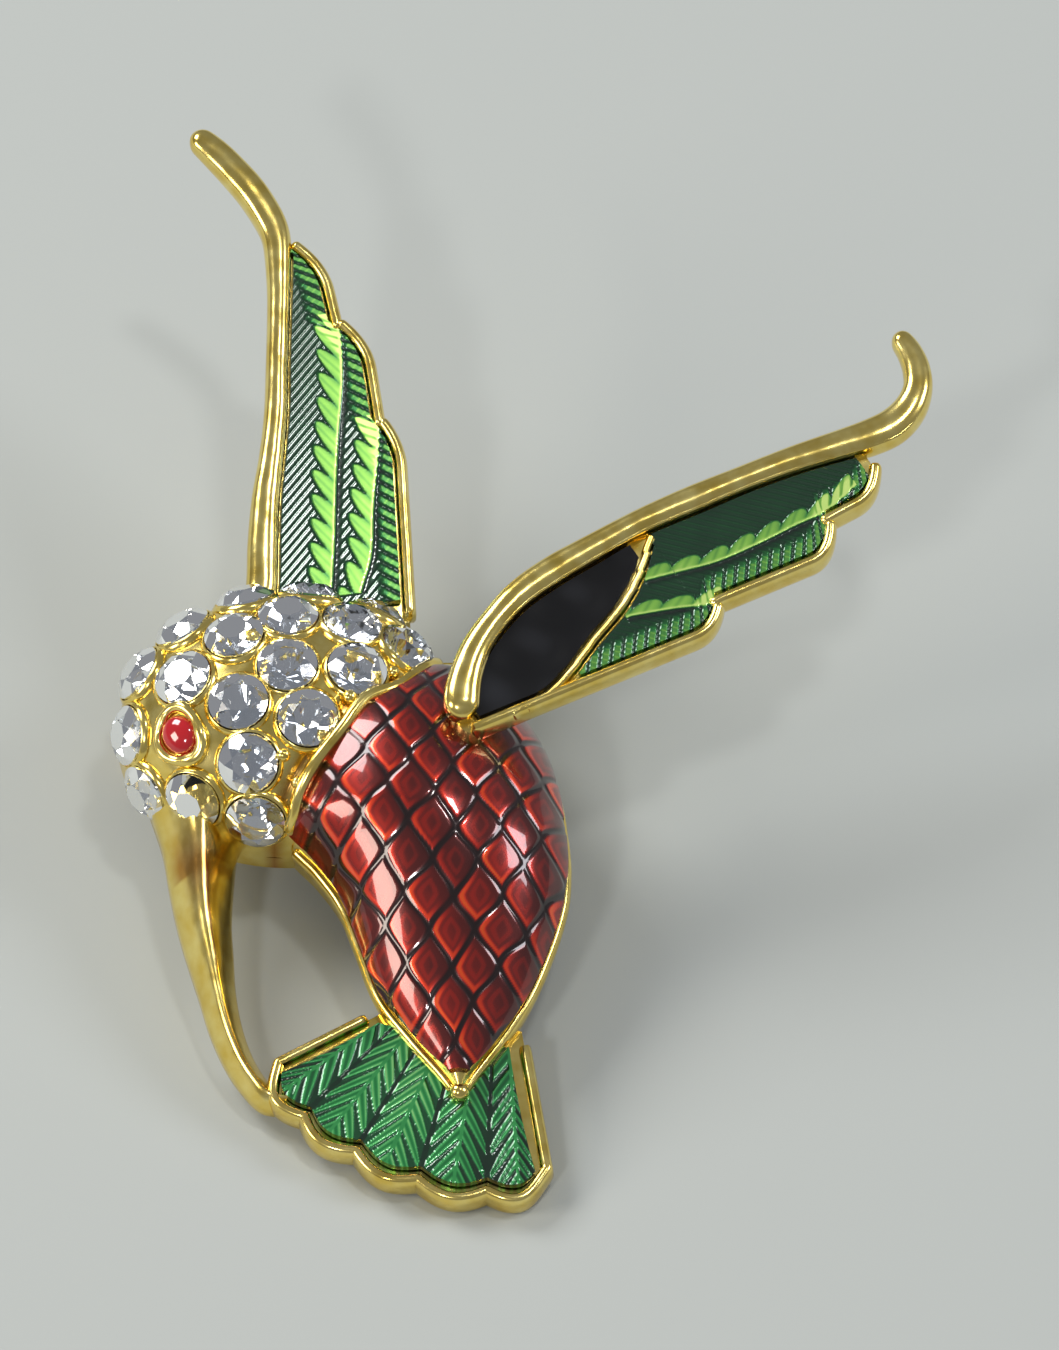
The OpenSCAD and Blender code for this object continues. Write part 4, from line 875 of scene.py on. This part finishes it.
right_lines = [
    ([[0.34, 0.08], [0.40, -0.02], [0.475, -0.15], [0.591, -0.2]], 10.0, 15.2),
    ([[0.40, 0.235], [0.454, 0.165], [0.515, 0.09], [0.598, 0.043], [0.655, 0.024], [0.717, 0.0],
      [0.80, 0.06]], 11.9, 23.5)]
s = np.linspace(0.215, 0.81, 420)
split = np.where(s > DIVIDER[-1][0], np.inf, divider_at(s) - DIVIDER_CLEAR)
wing_enamel("right_wing_green", RIGHT, s, feather_side(RIGHT, s), np.minimum(bar_side(RIGHT, s), split),
            lambda x, y: plumes(RIGHT, x, y, right_lines, 1.45, 0.42, 0.38),
            pool, "right_wing_enamel", "dark green enamel")

# Black enamel, opaque and glossy, with a soft ripple from the cast floor under it.
black = enamel("glossy black enamel", [(0.0, "#222327"), (0.5, "#0C0C0E"), (1.0, "#040405")], 0.0, 0.4)
shader = black.node_tree.nodes["Principled BSDF"]
shader.inputs["Specular IOR Level"].default_value = 0.1
shader.inputs["Coat Weight"].default_value = 0.5


def ripple(x, y):
    """Depth of the black enamel: crossed slow waves, shallower at the wing's root."""
    waves = np.sin(1.7 * x + 0.8 * y) * np.cos(1.1 * y - 0.4 * x)
    return 0.62 + 0.3 * waves - 0.3 * np.exp(-(x / 4) ** 2)


s = np.linspace(0.035, 0.41, 160)
split = np.where(s < DIVIDER[0][0], -np.inf, divider_at(s) + DIVIDER_CLEAR)
wing_enamel("black_patch", RIGHT, s, np.maximum(feather_side(RIGHT, s), split), bar_side(RIGHT, s),
            ripple, black, "black_enamel", "black enamel")

# ---------------------------------------------------------------- stalk
# A smooth flared stalk of gold-plated metal, cast with the rest, carries the right
# wing's root over the body.

STALK_FOOT, STALK_TOP, STALK_SIDES = 5.175, 7.6, 72
start = np.array(RIGHT["start"])
turn = np.radians(np.linspace(0, 360, STALK_SIDES, endpoint=False))
d = np.stack([np.cos(turn), np.sin(turn)], -1)
broad = np.abs(np.fft.fftfreq(STALK_SIDES, 1 / STALK_SIDES)) < 6
stalk = []
# Each ring goes round three discs that spread with height; its outline keeps only the
# broad waves, so that it has no corners.
for u in np.linspace(0, 1, 60):
    v = u * u
    discs = np.array([start + [0, -0.45 + 0.75 * v], start + [1.5 + 2.2 * v, 2.2 + 0.4 * v],
                      start + [-0.9 + 0.5 * v, 2.2 + 0.1 * v]])
    centre = discs.mean(0)
    reach = np.max((discs - centre) @ d.T, axis=0) + 0.4
    smooth_reach = np.real(np.fft.ifft(np.fft.fft(reach) * broad))
    z = np.full((STALK_SIDES, 1), STALK_FOOT + (STALK_TOP - STALK_FOOT) * u)
    stalk.append(np.concatenate([centre + 0.86 * smooth_reach[:, None] * d, z], 1))
shape = closed_rings(np.array(stalk))
# Painted shade: the whole stalk is darkened a little, as it stands under the wing.
gold_piece("wing_stalk", shape, sharp=50, pit=np.full(len(shape[0]), 0.25))

# ---------------------------------------------------------------- pin
# A plain steel bar pin, gilded: a plate fixed to the back, a round hinge and a round
# catch, and the stem between them.

# Steel under thin gold, brushed and not polished: softer and paler than the casting.
pin_gold, tree, shader = blank("gilded steel")
place = add(tree, "ShaderNodeTexCoord").outputs["Object"]
fine = add(tree, "ShaderNodeTexNoise", {"Vector": place, "Scale": 1.5 * PER_MM, "Detail": 2.0})
rough = add(tree, "ShaderNodeMapRange", {"Value": fine.outputs["Fac"], "To Min": 0.22, "To Max": 0.34})
tree.links.new(rough.outputs["Result"], shader.inputs["Roughness"])
shader.inputs["Base Color"].default_value = linear("#D9BE78")
shader.inputs["Metallic"].default_value = 1.0


def lathe_x(x0, x1, y, z, r, soft):
    """A round bar along x with softly turned edges at both ends."""
    q = np.linspace(0, np.pi / 2, 7)
    xs = np.concatenate([x0 + soft * (1 - np.cos(q)), x1 - soft * (1 - np.cos(q))[::-1]])
    rs = np.concatenate([r - soft * (1 - np.sin(q)), r - soft * (1 - np.sin(q))[::-1]])
    a = np.radians(np.linspace(0, 360, 72, endpoint=False))[None]
    return closed_rings(np.stack([
        xs[:, None] + 0 * a, y + rs[:, None] * np.cos(a), z + rs[:, None] * np.sin(a)], -1))


def bar_of(x0, x1, y0, y1, z0, z1, soft):
    """A flat bar along x whose four long edges are rounded."""
    corner = np.radians(np.linspace(0, 90, 7))
    ring = []
    low_y, high_y, low_z, high_z = y0 + soft, y1 - soft, z0 + soft, z1 - soft
    for k, (cy, cz) in enumerate(((high_y, high_z), (low_y, high_z), (low_y, low_z), (high_y, low_z))):
        a = corner + k * np.pi / 2
        ring.append(np.stack([cy + soft * np.cos(a), cz + soft * np.sin(a)], -1))
    ring = np.concatenate(ring)
    xs = np.array([x0, x0 + 0.001, x1 - 0.001, x1])
    return closed_rings(np.concatenate([np.broadcast_to(xs[:, None, None], (4, len(ring), 1)),
                                        np.broadcast_to(ring, (4, len(ring), 2))], -1))


PIN_FROM, PIN_TO, PIN_Y, PIN_Z, END_LONG = -13.0, 4.0, 2.6, -3.1, 2.2
parts = [bar_of(PIN_FROM, PIN_TO, PIN_Y - 1.2, PIN_Y + 1.2, -0.85, -0.05, 0.12),
         lathe_x(PIN_FROM + END_LONG / 2, PIN_TO - END_LONG / 2, PIN_Y, PIN_Z, 0.4, 0.1)]
for x in (PIN_FROM, PIN_TO - END_LONG):
    parts.append(lathe_x(x, x + END_LONG, PIN_Y, PIN_Z, 1.2, 0.15))
    parts.append(bar_of(x + 0.02, x + END_LONG - 0.02, PIN_Y - 0.72, PIN_Y + 0.72, PIN_Z, -0.45, 0.1))
piece("bar_pin", joined(parts), [pin_gold], "pin_back", "pin plating", sharp=50)

# ---------------------------------------------------------------- floor, light, camera
# Plain pale ground and soft studio light; the camera looks down on the bird as the
# photograph does.

FLOOR_HALF = 1.5
ground = bpy.data.meshes.new("pale_floor")
ground.from_pydata([(x * FLOOR_HALF, y * FLOOR_HALF, 0) for x, y in ((-1, -1), (1, -1), (1, 1), (-1, 1))],
                   [], [(0, 1, 2, 3)])
floor = bpy.data.objects.new("pale_floor", ground)
bpy.context.scene.collection.objects.link(floor)
# Pale grey paper without gloss, so that only the soft shadows show on it.
paper, tree, shader = blank("pale matt paper")
shader.inputs["Base Color"].default_value = linear("#B0B4B0")
shader.inputs["Roughness"].default_value = 0.9
ground.materials.append(paper)

sky = bpy.data.worlds.new("studio grey")
sky.use_nodes = True
sky.node_tree.nodes["Background"].inputs["Color"].default_value = linear("#C9CCD2")
sky.node_tree.nodes["Background"].inputs["Strength"].default_value = 0.42
bpy.context.scene.world = sky


def lamp(name, place, size, power, shade):
    """A soft square light that faces the brooch."""
    light = bpy.data.lights.new(name, "AREA")
    light.size = size
    light.energy = power
    light.color = linear(shade)[:3]
    obj = bpy.data.objects.new(name, light)
    obj.location = place
    obj.rotation_euler = (-Vector(place)).to_track_quat("-Z", "Y").to_euler()
    bpy.context.scene.collection.objects.link(obj)


lamp("window_light", (-0.42, 0.34, 0.46), 0.30, 3.0, "#FFFFFF")
lamp("left_fill", (-0.50, -0.15, 0.26), 0.20, 1.3, "#FFF6E8")
lamp("right_fill", (0.48, 0.05, 0.34), 0.20, 1.2, "#F6F8FF")
lamp("high_spark", (0.14, 0.02, 0.66), 0.07, 0.6, "#FFFFFF")
lamp("low_spark", (-0.20, -0.40, 0.42), 0.06, 0.6, "#FFFFFF")

scene = bpy.context.scene
scene.view_settings.view_transform = "Standard"
scene.cycles.use_denoising = True

# The camera stands VIEW away from straight above, on the tail's side, and CAMERA_FAR
# in mm from what it aims at.
VIEW, CAMERA_FAR = math.radians(29), 700
aim = np.array([6.475, 4.25 * math.cos(VIEW), 4.25 * math.sin(VIEW)])
back = np.array([0, -math.sin(VIEW), math.cos(VIEW)])
eye, target = at_rest(np.stack([aim + CAMERA_FAR * back, aim]))
lens = bpy.data.cameras.new("photo_view")
lens.lens = 373
lens.sensor_width = 36
lens.clip_start = 0.05
camera = bpy.data.objects.new("photo_view", lens)
camera.location = eye
camera.rotation_euler = Vector(target - eye).to_track_quat("-Z", "Y").to_euler()
scene.collection.objects.link(camera)
scene.camera = camera
